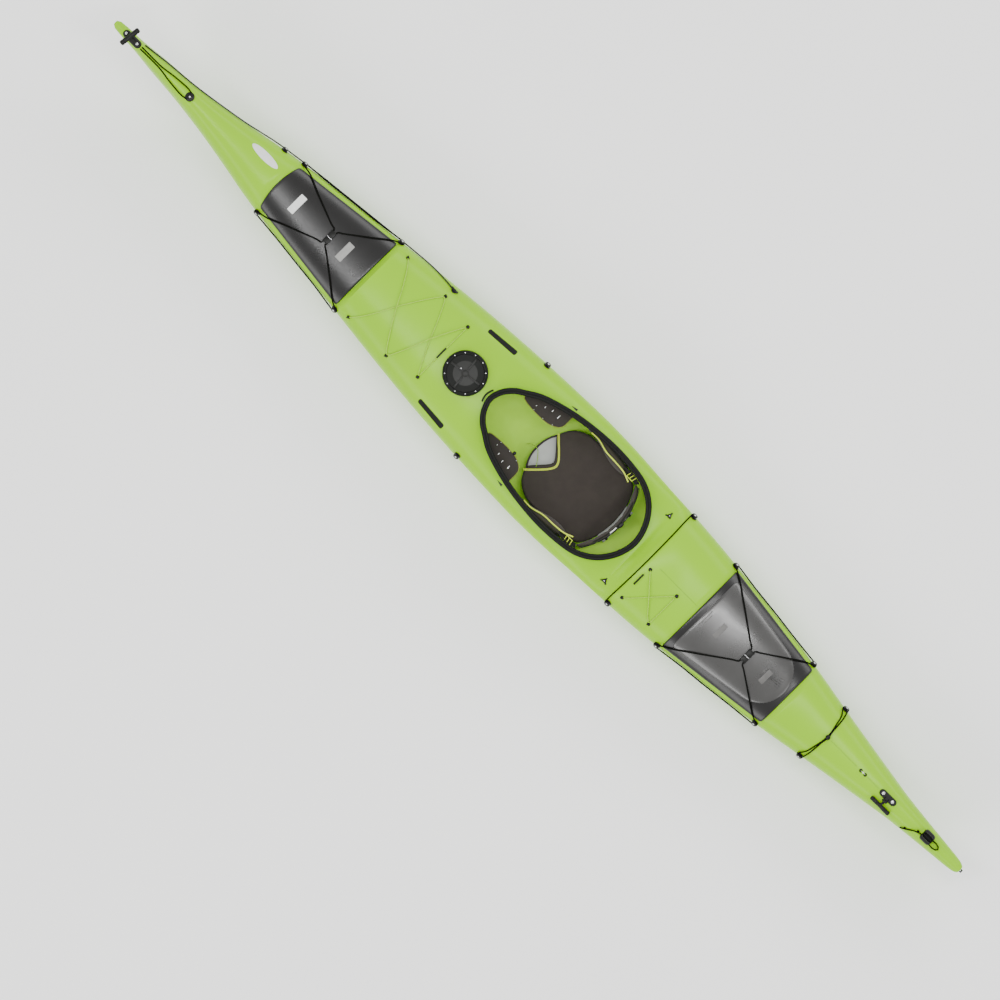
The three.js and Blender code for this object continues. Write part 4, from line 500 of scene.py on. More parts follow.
class Stuff(Enum):
    """Every finish on the boat."""

    # Polished lime gelcoat over laminate: even, bright, with a soft broad sheen.
    GELCOAT = Moulded(
        "lime_gelcoat", "#87be00", "#81b800", "lime", roughness=0.26, roughness_spread=0.03,
        mottle_mm=420, grain_mm=2.2, bump_mm=0.012, specular=0.15,
    )
    # The seam's bead, painted paler than the deck as a painted highlight: a thin bright line along each side.
    SEAM = Moulded(
        "seam_bead_painted_highlight", "#bdf04a", "#b2ea3e", "lime", roughness=0.3, mottle_mm=90, grain_mm=1.5,
        bump_mm=0.02, coat=0.3,
    )
    # Gelcoat along a moulded groove, darkened as painted shade of the groove.
    GROOVE = Moulded(
        "shaded_gelcoat_groove", "#76a800", "#6f9e00", "lime", roughness=0.4, mottle_mm=60,
        bump_mm=0.02, specular=0.3,
    )
    # The bare inside of the laminate: duller, with the glass cloth's slow ripple, and painted paler than the
    # deck as painted light on the shaded inside.
    INNER = Moulded(
        "lime_laminate_inside_painted_light", "#b6ee08", "#a8e000", "lime", roughness=0.42, mottle_mm=60, grain_mm=3.0,
        bump_mm=0.12, specular=0.25,
    )
    # Smooth moulded rubber: near black, with a soft streak of light along its crown.
    COVER = Pebbled(
        "black_hatch_rubber", "#0b0a09", "#11100f", "cover", roughness=0.28, roughness_spread=0.03,
        mottle_mm=70, grain_mm=0.9, bump_mm=0.004, specular=0.45,
    )
    # The same rubber on the raised field: glossier, painted greyer than the border as painted sheen, with a
    # clear highlight from the lamps.
    DOME = Moulded(
        "glossy_hatch_rubber_painted_sheen", "#252422", "#302f2d", "cover", roughness=0.28, roughness_spread=0.03,
        mottle_mm=90, grain_mm=1.2, bump_mm=0.005, coat=0.1, specular=0.9,
    )
    # Extruded trim rubber: matt black, with only a faint gleam on its crests.
    RUBBER = Pebbled(
        "black_trim_rubber", "#0a0c09", "#121410", "rubber", roughness=0.45, mottle_mm=30, grain_mm=0.8,
        bump_mm=0.03, specular=0.12,
    )
    # Glass-filled nylon as it leaves the mould: dark, with small soft highlights.
    NYLON = Moulded(
        "black_moulded_nylon", "#0a0b09", "#11120f", roughness=0.38, mottle_mm=18, grain_mm=0.5,
        bump_mm=0.02, specular=0.2,
    )
    # The lid's weathered plastic, a little greyer than the fittings.
    LID = Moulded(
        "black_lid_plastic", "#11120f", "#1b1c18", roughness=0.42, mottle_mm=35, grain_mm=0.6,
        bump_mm=0.015, specular=0.25,
    )
    # Braided polyester: a flat black that shows its strands up close.
    CORD = Braided(
        "black_braided_cord", "#080907", "#0d0e0b", "cord", roughness=0.95, bump_mm=0.2,
        fleck="#1c1d19", fleck_share=0.06, specular=0.05,
    )
    # The same braid with a pale tracer thread, which flecks it.
    PAINTER = Braided(
        "flecked_painter_cord", "#0c0d0a", "#14150f", "cord", roughness=0.95, bump_mm=0.2,
        fleck="#3f413a", specular=0.05,
    )
    # Sheathed shock cord in the deck's own lime, so that it hardly shows.
    ELASTIC = Braided(
        "lime_shock_cord", "#a9dc2c", "#97c926", "elastic", roughness=0.7, bump_mm=0.3,
        fleck="#6f8f1e", fleck_share=0.3,
    )
    # Coated seat cloth: warm charcoal, dull, its weave just seen.
    UPHOLSTERY = Woven(
        "charcoal_seat_cloth", "#3a3431", "#453f3b", "fabric", roughness=0.9, mottle_mm=55, grain_mm=1.3,
        bump_mm=0.12, specular=0.25, sheen=0.08,
    )
    # Closed-cell grip foam: dark brown and matt, with fine cells.
    PADDING = Pebbled(
        "dark_grip_foam", "#2a2523", "#352f2c", roughness=0.8, mottle_mm=30, grain_mm=1.6,
        bump_mm=0.12, specular=0.3,
    )
    # Woven piping: a bright lime line that outlines the pads.
    PIPING = Woven(
        "lime_piping", "#cfdf35", "#bccd2c", "fabric", roughness=0.7, mottle_mm=25, grain_mm=0.9,
        bump_mm=0.1, sheen=0.3,
    )
    # Folded binding tape, a dull olive beside the piping.
    BINDING = Woven(
        "olive_edge_binding", "#7d8a1f", "#6f7a1c", "fabric", roughness=0.75, mottle_mm=20, grain_mm=0.9,
        bump_mm=0.1, sheen=0.1,
    )
    # Cut closed-cell foam: pale grey and quite matt.
    FOAM = Pebbled(
        "grey_closed_cell_foam", "#b9bab8", "#a9aaa8", "foam", roughness=0.85, mottle_mm=35,
        grain_mm=1.8, bump_mm=0.12,
    )
    # Polyester webbing: black ribs that catch a little light.
    WEBBING = Woven(
        "black_webbing", "#131310", "#1e1e1a", "fabric", roughness=0.8, mottle_mm=20, grain_mm=1.6,
        bump_mm=0.2, specular=0.3,
    )
    # Stainless steel, finely brushed: small bright points on the deck.
    STEEL = Brushed(
        "brushed_steel", "#c9cacb", "#b3b5b7", "alloy", roughness=0.28, mottle_mm=20, grain_mm=0.3,
        bump_mm=0.01, metallic=1.0,
    )
    # Plain reflective sheet: almost white.
    PATCH = Moulded(
        "pale_reflective_patch", "#d9dad6", "#c6c8c4", "cover", roughness=0.45, mottle_mm=14,
        grain_mm=0.6, bump_mm=0.02,
    )
    # The same sheet in a darker grey.
    WORN = Moulded(
        "darker_grey_patch", "#8b8b87", "#7b7b77", "cover", mottle_mm=12, grain_mm=0.6, bump_mm=0.02,
    )
    # Rubber scuffed where a patch has been: barely paler than the field; on the two thin ridge strips the
    # same paler grey is a painted highlight.
    FAINT = Moulded(
        "scuffed_rubber_and_painted_ridge_highlight", "#4c4b49", "#5b5a57", "cover", roughness=0.4, mottle_mm=20,
        grain_mm=0.8, bump_mm=0.03,
    )

    # Painted studio floor: an even white that takes the boat's soft shadow.
    FLOOR = Moulded(
        "white_studio_floor", "#fbfbfa", "#f8f8f7", roughness=0.85, mottle_mm=900, grain_mm=6,
        bump_mm=0.02,
    )

    def material(self) -> Material:
        """This finish's material, made the first time that it is asked for."""
        return bpy.data.materials.get(self.value.name) or self.value.build()


# Mesh tools
def linked(name: str, data: bpy.types.ID) -> Piece:
    """A new object with its data, in the scene."""
    thing = bpy.data.objects.new(name, data)
    bpy.context.scene.collection.objects.link(thing)
    return thing


@dataclass
class Shape:
    """A mesh in the making: its points, faces and, for a tube, its map."""

    points: list[Vector] = field(default_factory=list)
    faces: list[tuple[int, ...]] = field(default_factory=list)
    maps: dict[int, tuple[float, float]] | None = None

    def join(self, other: Shape) -> None:
        """Adds another shape to this one.

        Args:
            other: The shape to add, with its map where this one has a map.
        """
        start = len(self.points)
        self.points += other.points
        self.faces += [tuple(k + start for k in face) for face in other.faces]
        if self.maps is not None:
            self.maps.update({k + start: uv for k, uv in (other.maps or {}).items()})

    def built(self, name: str, stuff: Stuff, crease: float = 38.0) -> Piece:
        """An object of this shape.

        Args:
            name: The object's name.
            stuff: Its finish.
            crease: Edges that bend by more than this many degrees stay sharp.

        Returns:
            The object, linked to the scene.
        """
        mesh = bpy.data.meshes.new(name)
        mesh.from_pydata([tuple(p) for p in self.points], [], self.faces)
        mesh.validate()
        made = bmesh.new()
        made.from_mesh(mesh)
        bmesh.ops.recalc_face_normals(made, faces=made.faces)
        made.to_mesh(mesh)
        made.free()
        if self.maps is not None:
            layer = mesh.uv_layers.new(name="along")
            for polygon in mesh.polygons:
                for loop in polygon.loop_indices:
                    layer.data[loop].uv = self.maps.get(mesh.loops[loop].vertex_index, (0.0, 0.0))
        mesh.materials.append(stuff.material())
        piece = linked(name, mesh)
        crease_marked(piece, crease)
        return piece

    def skinned(self, name: str, stuff: Stuff, point: Vector, crease: float = 38.0, wall_mm: float = 0.0,
                way: Vector = UP, inside: Stuff | None = None) -> Piece:
        """An object of this open sheet, with its faces turned outward and its wall built inward.

        Args:
            name: The object's name.
            stuff: Its finish.
            point: A point by one of its faces.
            crease: Edges that bend by more than this many degrees stay sharp.
            wall_mm: The wall, or nothing.
            way: Where the face by the point looks.
            inside: The inside's finish, where it has its own.

        Returns:
            The object.
        """
        piece = self.built(name, stuff, crease)
        mesh = piece.data
        nearest = min(mesh.polygons, key=lambda face: (face.center - point).length)
        if nearest.normal.dot(way) < 0:
            mesh.flip_normals()
        if wall_mm > 0:
            wall = piece.modifiers.new("wall", "SOLIDIFY")
            wall.thickness = wall_mm * MM
            wall.offset = -1.0
            if inside:
                mesh.materials.append(inside.material())
                wall.material_offset = wall.material_offset_rim = 1
            settle(piece)
        return piece

    def kept(self, name: str, stuff: Stuff, node: str = "", body: str = "boat", slot: str = "",
             crease: float = 38.0) -> None:
        """Makes the object and keeps it on its body, in place of its node."""
        keep(self.built(name, stuff, crease), body, node)


def loft(rings: Sequence[Ring], closed: bool = True, capped: bool = True, looped: bool = False) -> Shape:
    """A skin through rings of equal count.

    Args:
        rings: The rings, in order.
        closed: Whether each ring closes on itself.
        capped: Whether the first and last rings are filled.
        looped: Whether the last ring joins the first.

    Returns:
        The shape.
    """
    count = len(rings[0])
    shape = Shape([p.copy() for ring in rings for p in ring])
    last = len(rings) if looped else len(rings) - 1
    for i in range(last):
        here, there = i * count, ((i + 1) % len(rings)) * count
        for k in range(count if closed else count - 1):
            m = (k + 1) % count
            shape.faces.append((here + k, there + k, there + m, here + m))
    if capped and closed and not looped:
        shape.faces.append(tuple(range(count)))
        shape.faces.append(tuple(reversed(range((len(rings) - 1) * count, len(rings) * count))))
    return shape


def spline(points: Sequence[Vector], step: float) -> list[Vector]:
    """A smooth curve through points.

    Args:
        points: The points.
        step: About how far apart the curve's points are, in metres.

    Returns:
        The curve's points.
    """
    result: list[Vector] = []
    for i in range(len(points) - 1):
        before = points[max(i - 1, 0)]
        a, b = points[i], points[i + 1]
        after = points[min(i + 2, len(points) - 1)]
        spans = [max((q - p).length, 1e-6) ** 0.5 for p, q in ((before, a), (a, b), (b, after))]
        if i == 0:
            spans[0] = spans[1]
        if i == len(points) - 2:
            spans[2] = spans[1]
        m1 = (b - a) + ((a - before) / spans[0] - (b - before) / (spans[0] + spans[1])) * spans[1]
        m2 = (b - a) + ((after - b) / spans[2] - (after - a) / (spans[1] + spans[2])) * spans[1]
        if i == 0:
            m1 = b - a
        if i == len(points) - 2:
            m2 = b - a
        count = max(int(round((b - a).length / step)), 1)
        for k in range(count):
            t = k / count
            result.append(
                a * (2 * t**3 - 3 * t**2 + 1) + m1 * (t**3 - 2 * t**2 + t)
                + b * (3 * t**2 - 2 * t**3) + m2 * (t**3 - t**2)
            )
    result.append(points[-1].copy())
    return result


def tube(points: Sequence[Vector], radius_mm: float, sides: int = 12) -> Shape:
    """A round tube through points, with a map that runs round it and along it.

    Args:
        points: The middle of the tube.
        radius_mm: Its radius.
        sides: Its faces round.

    Returns:
        The shape.
    """
    radius = radius_mm * MM
    ways = []
    for i in range(len(points)):
        way = points[min(i + 1, len(points) - 1)] - points[max(i - 1, 0)]
        ways.append(way.normalized() if way.length > 0 else FORE)
    up = UP if abs(ways[0].z) < 0.9 else FORE
    across = ways[0].cross(up).normalized()
    rings, maps, run = [], {}, 0.0
    for i, (point, way) in enumerate(zip(points, ways)):
        if i:
            run += (point - points[i - 1]).length
        across = (across - way * across.dot(way)).normalized()
        other = way.cross(across)
        ring = []
        for k in range(sides):
            angle = tau * k / sides
            maps[i * sides + k] = (k / sides, run / (3.0 * radius))
            ring.append(point + (across * cos(angle) + other * sin(angle)) * radius)
        rings.append(ring)
    shape = loft(rings)
    shape.maps = maps
    return shape


def lathe(profile: Outline, foot: Vector, axis: Vector, sides: int = 32) -> Shape:
    """A turned shape.

    Args:
        profile: Radii and heights up the axis, in millimetres.
        foot: Where the axis starts.
        axis: The way up.
        sides: Faces round.

    Returns:
        The closed shape.
    """
    axis = axis.normalized()
    side = axis.cross(FORE if abs(axis.x) < 0.9 else Vector((0, 1, 0))).normalized()
    other = axis.cross(side)
    turns = (tau * k / sides for k in range(sides))
    spokes = [side * cos(angle) + other * sin(angle) for angle in turns]
    rings = []
    for radius, height in profile:
        centre = foot + axis * height * MM
        rings.append([centre + spoke * max(radius, 0.01) * MM for spoke in spokes])
    return loft(rings)


def slab(outline: Outline, low: float, high: float, edge: float = 1.0) -> Shape:
    """A flat plate over an outline.

    Args:
        outline: The outline, in s and y.
        low: The height of its underside.
        high: The height of its top.
        edge: How far its edges are rounded.

    Returns:
        The closed shape.
    """
    rings = []
    for inset_by, z in ((edge, low), (0.0, low + edge), (0.0, high - edge), (edge, high)):
        rings.append([place(s, y, z) for s, y in inset(outline, inset_by)])
    return loft(rings)


def spread(length: float, count: int) -> list[float]:
    """Distances along a side that stand close together near both its ends.

    Args:
        length: The side's length.
        count: Steps in the part between.

    Returns:
        The distances.
    """
    near = (0, 0.7, 1.8, 3.4, 5.4, 8, 12, 18)
    inner = length - 2 * near[-1]
    middle = (near[-1] + inner * k / count for k in range(1, count))
    return [*near, *middle, *(length - d for d in reversed(near))]


def block(centre: Vector, size: tuple[float, float, float], edge: float, turn: Matrix | None = None) -> Shape:
    """A block with rounded edges.

    Args:
        centre: Its middle.
        size: Its size along, across and up, in millimetres.
        edge: Its edges' radius.
        turn: How it is turned.

    Returns:
        The closed shape.
    """
    made = bmesh.new()
    bmesh.ops.create_cube(made, size=1.0)
    for vertex in made.verts:
        vertex.co = Vector((vertex.co.x * size[0], vertex.co.y * size[1], vertex.co.z * size[2])) * MM
    bmesh.ops.bevel(
        made, geom=made.edges[:], offset=edge * MM, segments=3, profile=0.5, affect="EDGES",
        clamp_overlap=True,
    )
    made.verts.ensure_lookup_table()
    turn = turn or Matrix.Identity(3)
    faces = [tuple(vertex.index for vertex in face.verts) for face in made.faces]
    shape = Shape([centre + turn @ vertex.co for vertex in made.verts], faces)
    made.free()
    return shape


def inset(outline: Outline, distance: float) -> Outline:
    """An outline drawn in by a distance, point by point.

    Args:
        outline: The outline.
        distance: How far in.

    Returns:
        As many points.
    """
    area = sum(a[0] * b[1] - b[0] * a[1] for a, b in zip(outline, [*outline[1:], outline[0]]))
    sign = 1.0 if area > 0 else -1.0
    result = []
    count = len(outline)
    for i, (s, y) in enumerate(outline):
        before, after = outline[i - 1], outline[(i + 1) % count]
        way = Vector((after[0] - before[0], after[1] - before[1]))
        way = way.normalized() if way.length > 0 else Vector((1, 0))
        result.append((s - sign * way.y * distance, y + sign * way.x * distance))
    return result


def closed_curve(points: Outline, count: int) -> Outline:
    """Evenly spaced points on a smooth closed curve.

    Args:
        points: Points that the curve goes through.
        count: How many points to give.

    Returns:
        The points.
    """
    wrapped = [Vector((p[0] * MM, p[1] * MM, 0)) for p in (*points[-2:], *points, *points[:3])]
    fine = spline(wrapped, 1.5 * MM)
    start = min(range(len(fine)), key=lambda i: (fine[i] - wrapped[2]).length)
    loops = fine[start:]
    end = min(range(len(loops) // 2, len(loops)), key=lambda i: (loops[i] - wrapped[2]).length)
    loops = loops[: end + 1]
    runs = [0.0]
    for a, b in zip(loops, loops[1:]):
        runs.append(runs[-1] + (b - a).length)
    result, k = [], 0
    for i in range(count):
        target = runs[-1] * i / count
        while runs[k + 1] < target:
            k += 1
        t = (target - runs[k]) / max(runs[k + 1] - runs[k], 1e-9)
        p = loops[k].lerp(loops[k + 1], t)
        result.append((p.x / MM, p.y / MM))
    return result


def eased(a: Vector, corner: Vector, b: Vector, steps: int) -> Outline:
    """A rounded corner from a to b, in that many steps."""
    shares = [k / steps for k in range(steps + 1)]
    return [tuple(a * (1 - t) ** 2 + corner * 2 * t * (1 - t) + b * t**2) for t in shares]


def rounded(corners: Outline, radius: float, steps: int = 8) -> Outline:
    """An outline with its corners rounded.

    Args:
        corners: The sharp corners.
        radius: How far from a corner its rounding starts.
        steps: Steps in each corner.

    Returns:
        The outline.
    """
    result = []
    for i, corner in enumerate(corners):
        here = Vector(corner)
        before, after = Vector(corners[i - 1]) - here, Vector(corners[(i + 1) % len(corners)]) - here
        reach = min(radius, before.length / 2, after.length / 2)
        result += eased(here + before.normalized() * reach, here, here + after.normalized() * reach, steps)
    return result


def divided(outline: Outline, step: float) -> Outline:
    """An outline with points added where its sides are long.

    Args:
        outline: The outline.
        step: The longest side that stays whole, in millimetres.

    Returns:
        The outline.
    """
    result = []
    for a, b in zip(outline, [*outline[1:], outline[0]]):
        count = max(int(dist(a, b) // step), 1)
        result += [(a[0] + (b[0] - a[0]) * k / count, a[1] + (b[1] - a[1]) * k / count) for k in range(count)]
    return result


def draped(outline: Outline, lift: Callable[[float, float, float], float],
           rings: Sequence[float]) -> Shape:
    """A sheet over the deck inside an outline.

    Args:
        outline: The outline, in s and y.
        lift: The height off the deck at s, y and a distance in from the outline.
        rings: Distances in from the outline, in millimetres, that get a ring of points; the rest
            is filled by rings that shrink to the middle.

    Returns:
        The shape, with its underside left open.
    """
    middle = Vector((sum(p[0] for p in outline) / len(outline), sum(p[1] for p in outline) / len(outline)))
    inner = inset(outline, rings[-1])
    layers = [(inset(outline, d), d) for d in rings]
    steps = 14
    for k in range(1, steps):
        share = 1 - k / steps
        ring = [(middle.x + (s - middle.x) * share, middle.y + (y - middle.y) * share) for s, y in inner]
        layers.append((ring, 22.0 + 138 * (1 - share)))
    points = [[BOAT.above(s, y, lift(s, y, d)) for s, y in ring] for ring, d in layers]
    shape = loft(points, capped=False)
    centre = len(shape.points)
    shape.points.append(BOAT.above(middle.x, middle.y, lift(middle.x, middle.y, 160.0)))
    count = len(outline)
    start = (len(points) - 1) * count
    shape.faces += [(start + k, start + (k + 1) % count, centre) for k in range(count)]
    return shape


def keep(piece: Piece, body: str, node: str) -> None:
    """Puts a piece on its body and in place of its CAD node.

    Args:
        piece: The piece.
        body: The CAD body that it rides on.
        node: The CAD node that it stands for, or nothing.
    """
    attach(piece, body)
    if node:
        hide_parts(node)
    LOG.info("%s rides on %s", piece.name, body)


def repaint(node: str, stuff: Stuff, edge_mm: float = 0.0) -> None:
    """Gives a CAD node that stays its finish, with its edges rounded.

    Args:
        node: The node's name.
        stuff: Its finish.
        edge_mm: The width of its rounded edges, or nothing.
    """
    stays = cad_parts[node]
    stays.data.materials.clear()
    stays.data.materials.append(stuff.material())
    LOG.info("%s has its finish", node)
    if edge_mm > 0:
        bevel = stays.modifiers.new("edges", "BEVEL")
        bevel.width = edge_mm * MM
        bevel.segments = 2
        bevel.limit_method = "ANGLE"
        bevel.angle_limit = radians(35)
        bevel.harden_normals = False


def settle(piece: Piece) -> None:
    """Applies a piece's modifiers.

    Args:
        piece: The piece.
    """
    bpy.context.view_layer.update()
    mesh = bpy.data.meshes.new_from_object(piece.evaluated_get(bpy.context.evaluated_depsgraph_get()))
    piece.modifiers.clear()
    piece.data = mesh


def cut(piece: Piece, cutters: Shape) -> None:
    """Takes the room of some closed shapes out of a piece.

    Args:
        piece: The piece.
        cutters: The shapes.
    """
    tool = cutters.built("cutting_tool", Stuff.RUBBER)
    step = piece.modifiers.new("cut", "BOOLEAN")
    step.operation = "DIFFERENCE"
    step.solver = "EXACT"
    step.object = tool
    settle(piece)
    bpy.data.objects.remove(tool)
    crease_marked(piece, 40.0)


def crease_marked(piece: Piece, degrees: float) -> None:
    """Marks the edges that bend sharply, so that the shading breaks there.

    Args:
        piece: The piece.
        degrees: How much an edge bends to be sharp.
    """
    made = bmesh.new()
    made.from_mesh(piece.data)
    for edge in made.edges:
        edge.smooth = len(edge.link_faces) != 2 or edge.calc_face_angle(0.0) <= radians(degrees)
    for face in made.faces:
        face.smooth = True
    made.to_mesh(piece.data)
    made.free()


def joined(shapes: Iterable[Shape]) -> Shape:
    """Several shapes as one.

    Args:
        shapes: The shapes.

    Returns:
        The whole, with a map where each of them has one.
    """
    parts = list(shapes)
    whole = Shape(maps={} if all(part.maps is not None for part in parts) else None)
    for part in parts:
        whole.join(part)
    return whole


def prism(outline: Outline, low: float, high: float) -> Shape:
    """An upright closed form over an outline."""
    return loft([[place(s, y, z) for s, y in outline] for z in (low, high)])


# Hull, deck and coaming
@dataclass(frozen=True)
class Hatch:
    """A soft hatch cover's place and outline."""

    name: str
    start: float
    end: float
    start_half: float
    end_half: float
    bow: float
    buckle_s: float
    fore_eye: float
    aft_eye: float
    dome: float = 0.0
    corner: float = 12.0

    def outline(self, drawn_in: float = 0.0) -> Outline:
        """The cover's outline.

        Args:
            drawn_in: How far in from its edge.

        Returns:
            The outline, with its corners rounded.
        """
        steps = 12 if self.bow > 0 else 1
        edge = []
        for t in (k / steps for k in range(steps + 1)):
            edge.append((self.start + self.bow * (1 - 4 * t * (1 - t)), self.start_half * (2 * t - 1)))
        corners = [*edge, (self.end, self.end_half), (self.end, -self.end_half)]
        sharp = [Vector(p) for p in inset(divided(corners, 34.0), drawn_in)]
        after = [*sharp[1:], sharp[0]]
        turns = []
        for i, (here, there) in enumerate(zip(sharp, after)):
            if abs((here - sharp[i - 1]).angle_signed(there - here)) > 0.6:
                turns.append(i)
        result = []
        for i, here in enumerate(sharp):
            if i in turns:
                before, beyond = (p - here for p in (sharp[i - 1], after[i]))
                ends = [here + way.normalized() * self.corner for way in (before, beyond)]
                result += eased(ends[0], here, ends[1], 9)
            elif all((here - sharp[j]).length >= self.corner * 1.05 for j in turns):
                result.append(tuple(here))
        return result


FRONT = Hatch("front", 976, 1527, 120, 186, 18, 1302, 1002, 1534)
REAR = Hatch("rear", 3564, 4103, 229, 158, 0, 3855, 3548, 4085, dome=7)


@dataclass(frozen=True)
class Cockpit:
    """The cockpit's rim: its outline, its heights and its widths."""

    front_s: float = 2276.0
    length: float = 898.0
    half_width: float = 239.0
    front_z: float = 382.0
    rear_z: float = 306.0
    rim: float = 20.0
    shares: Table = (
        (0, 0), (0.022, 0.262), (0.063, 0.443), (0.105, 0.546), (0.174, 0.701), (0.312, 0.866),
        (0.451, 0.959), (0.623, 1), (0.797, 0.933), (0.866, 0.831), (0.921, 0.675), (0.963, 0.469),
        (0.99, 0.237), (1, 0),
    )

    def outline(self) -> Outline:
        """The rim's outer edge."""
        port = [(self.front_s + a * self.length, b * self.half_width) for a, b in self.shares]
        starboard = [(s, -y) for s, y in reversed(port[1:-1])]
        return closed_curve([*port, *starboard], 176)

    def rim_z(self, s: float) -> float:
        """The height of the rim at s."""
        return self.front_z + (self.rear_z - self.front_z) * (s - self.front_s) / self.length

    def band(self, section: Callable[[float, float], Outline]) -> Shape:
        """A band round the mouth.

        Args:
            section: Gives the band's section at a place of the mouth: distances out, and heights.

        Returns:
            The band.
        """
        outer = self.outline()
        inner = inset(outer, self.rim)
        rings = []
        for (so, yo), (si, yi) in zip(outer, inner):
            way = Vector((so - si, yo - yi)).normalized()
            rings.append([place(si + way.x * n, yi + way.y * n, z) for n, z in section(si, yi)])
        return loft(rings, looped=True)


COCKPIT = Cockpit()


@dataclass
class Hull:
    """The two shells, the seam between them and the coaming."""

    side_steps: int = 9
    floor_steps: int = 8
    deck_steps: int = 36
    wall_mm: float = 4.0
    nose_mm: float = 5.0
    day_s: float = 2131.0
    day_mouth: float = 80.0

    def places(self) -> list[float]:
        """Where its skins have a ring.

        Returns:
            The places along the boat.
        """
        knots = {share * BOAT.length for table in (BOAT.crown, BOAT.keel, BOAT.beam) for share, _ in table}
        even = {k * BOAT.length / 258 for k in range(259)}
        found: list[float] = []
        for s in sorted(knots | even):
            if not found or s - found[-1] > 5.0:
                found.append(s)
        found[-1] = BOAT.length
        return found

    def rounded_ends(self, rings: list[Ring]) -> list[Ring]:
        """Rings with a rounded nose at both ends.

        Args:
            rings: The skin's rings.

        Returns:
            The rings with those of the noses.
        """
        result = list(rings)
        for index, sign in ((0, 1.0), (-1, -1.0)):
            ring = rings[index]
            centre = sum(ring, Vector()) / len(ring)
            extra = []
            for k in range(1, 4):
                angle = k * pi / 8
                out = Vector((sign * self.nose_mm * MM * sin(angle), 0, 0))
                extra.append([centre + (p - centre) * (0.25 + 0.75 * cos(angle)) + out for p in ring])
            result = [*reversed(extra), *result] if index == 0 else [*result, *extra]
        return result

    def skin(self, name: str, rings: list[Ring], point: Vector, way: Vector) -> Piece:
        """A shell with its wall, from the rings of its outer skin; a point of it looks that way."""
        shape = loft(self.rounded_ends(rings), closed=False, capped=False)
        # The inside takes the laminate's paler finish, which is painted light.
        return shape.skinned(name, Stuff.GELCOAT, point, 60, self.wall_mm, way, Stuff.INNER)

    def shell(self) -> None:
        """The lower shell."""
        rings = []
        for s in self.places():
            half = BOAT.hull_half(BOAT.row(s), self.side_steps, self.floor_steps)
            rings.append([*(place(s, y, z) for y, z in half), *(place(s, -y, z) for y, z in reversed(half))])
        keep(self.skin("hull", rings, place(2500, 0, 0), -UP), "boat", "hull_shell")

    def deck(self) -> None:
        """The upper shell with its openings."""
        turns = [-1 + 2 * k / self.deck_steps for k in range(self.deck_steps + 1)]
        rings = [[BOAT.on_deck(s, turn) for turn in turns] for s in self.places()]
        piece = self.skin("deck", rings, place(1700, 0, 340), UP)
        round_mouth = [
            (self.day_s + self.day_mouth * cos(a), self.day_mouth * sin(a))
            for a in (tau * k / 64 for k in range(64))
        ]
        cockpit_mouth = inset(COCKPIT.outline(), COCKPIT.rim - 2.5)
        mouths = (cockpit_mouth, FRONT.outline(26), REAR.outline(26), round_mouth)
        cut(piece, joined(prism(mouth, 120, 500) for mouth in mouths))
        keep(piece, "boat", "deck_shell")

    def seam(self) -> None:
        """The bead of the seam between the shells, its pale finish a painted highlight, and the grooves along
        the deck, darkened with painted shade.
        """
        for side, sign in SIDES:
            path = []
            for s in self.places()[3:-3]:
                row = BOAT.row(s)
                path.append(place(s, sign * (row.half - 1.2), row.seam))
            tube(path, 2.2, 8).kept(f"seam_bead_{side}", Stuff.SEAM)
        for name, start, end in (("mid", 3322, 3556), ("aft", 4372, 4536), ("stern", 4590, 4664)):
            path = [BOAT.above(s, 0, -0.7) for s in range(start, end, 12)]
            tube(path, 1.6, 8).kept(f"deck_groove_{name}", Stuff.GROOVE)

    def riser(self) -> None:
        """The coaming's riser and lip, in the deck's own laminate."""

        def section(s: float, y: float) -> Outline:
            """The section at a place of the mouth.

            Args:
                s: The place along the boat.
                y: The place across it.

            Returns:
                Distances out from the mouth, and heights.
            """
            top = COCKPIT.rim_z(s)
            foot = BOAT.above(s, y).z / MM - 9
            mid = (foot + top) / 2
            return [
                (0, foot), (0, mid), (0, top - 2), (2, top), (10, top), (18, top), (20, top - 2.5),
                (18, top - 5), (9, top - 5), (5.8, top - 6.5), (5, top - 9), (5, mid), (5, foot),
            ]

        COCKPIT.band(section).kept("coaming_riser", Stuff.GELCOAT, crease=50)

    def trim(self) -> None:
        """The rubber trim round the coaming's lip: rounded, with a groove along its top."""
        profile = (
            (-0.4, -6.5), (-1.6, -5.5), (-1.8, -1), (-0.8, 1.8), (1.4, 3.1), (5, 3.4), (8.6, 3.2), (10, 1.7),
            (11.6, 1.6), (13, 3.1), (17, 3.4), (21, 3.0), (23.8, 1.4), (25, -1.2), (25, -4.6), (24, -7.2),
            (21.5, -8.3), (17, -8.3), (16.2, -7.2), (16.4, -5.4), (21.4, -5.2), (21.9, -2), (21, 0.2),
            (1, 0.2), (-0.2, -2),
        )
        band = COCKPIT.band(lambda s, y: [(out, COCKPIT.rim_z(s) + rise) for out, rise in profile])
        band.kept("coaming_rubber_trim", Stuff.RUBBER, "coaming_trim", crease=50)

    def build(self) -> None:
        """Makes the hull, deck and coaming."""
        self.shell()
        self.deck()
        self.seam()
        self.riser()
        self.trim()
        repaint("front_bulkhead", Stuff.FOAM)
        repaint("rear_bulkhead", Stuff.FOAM)


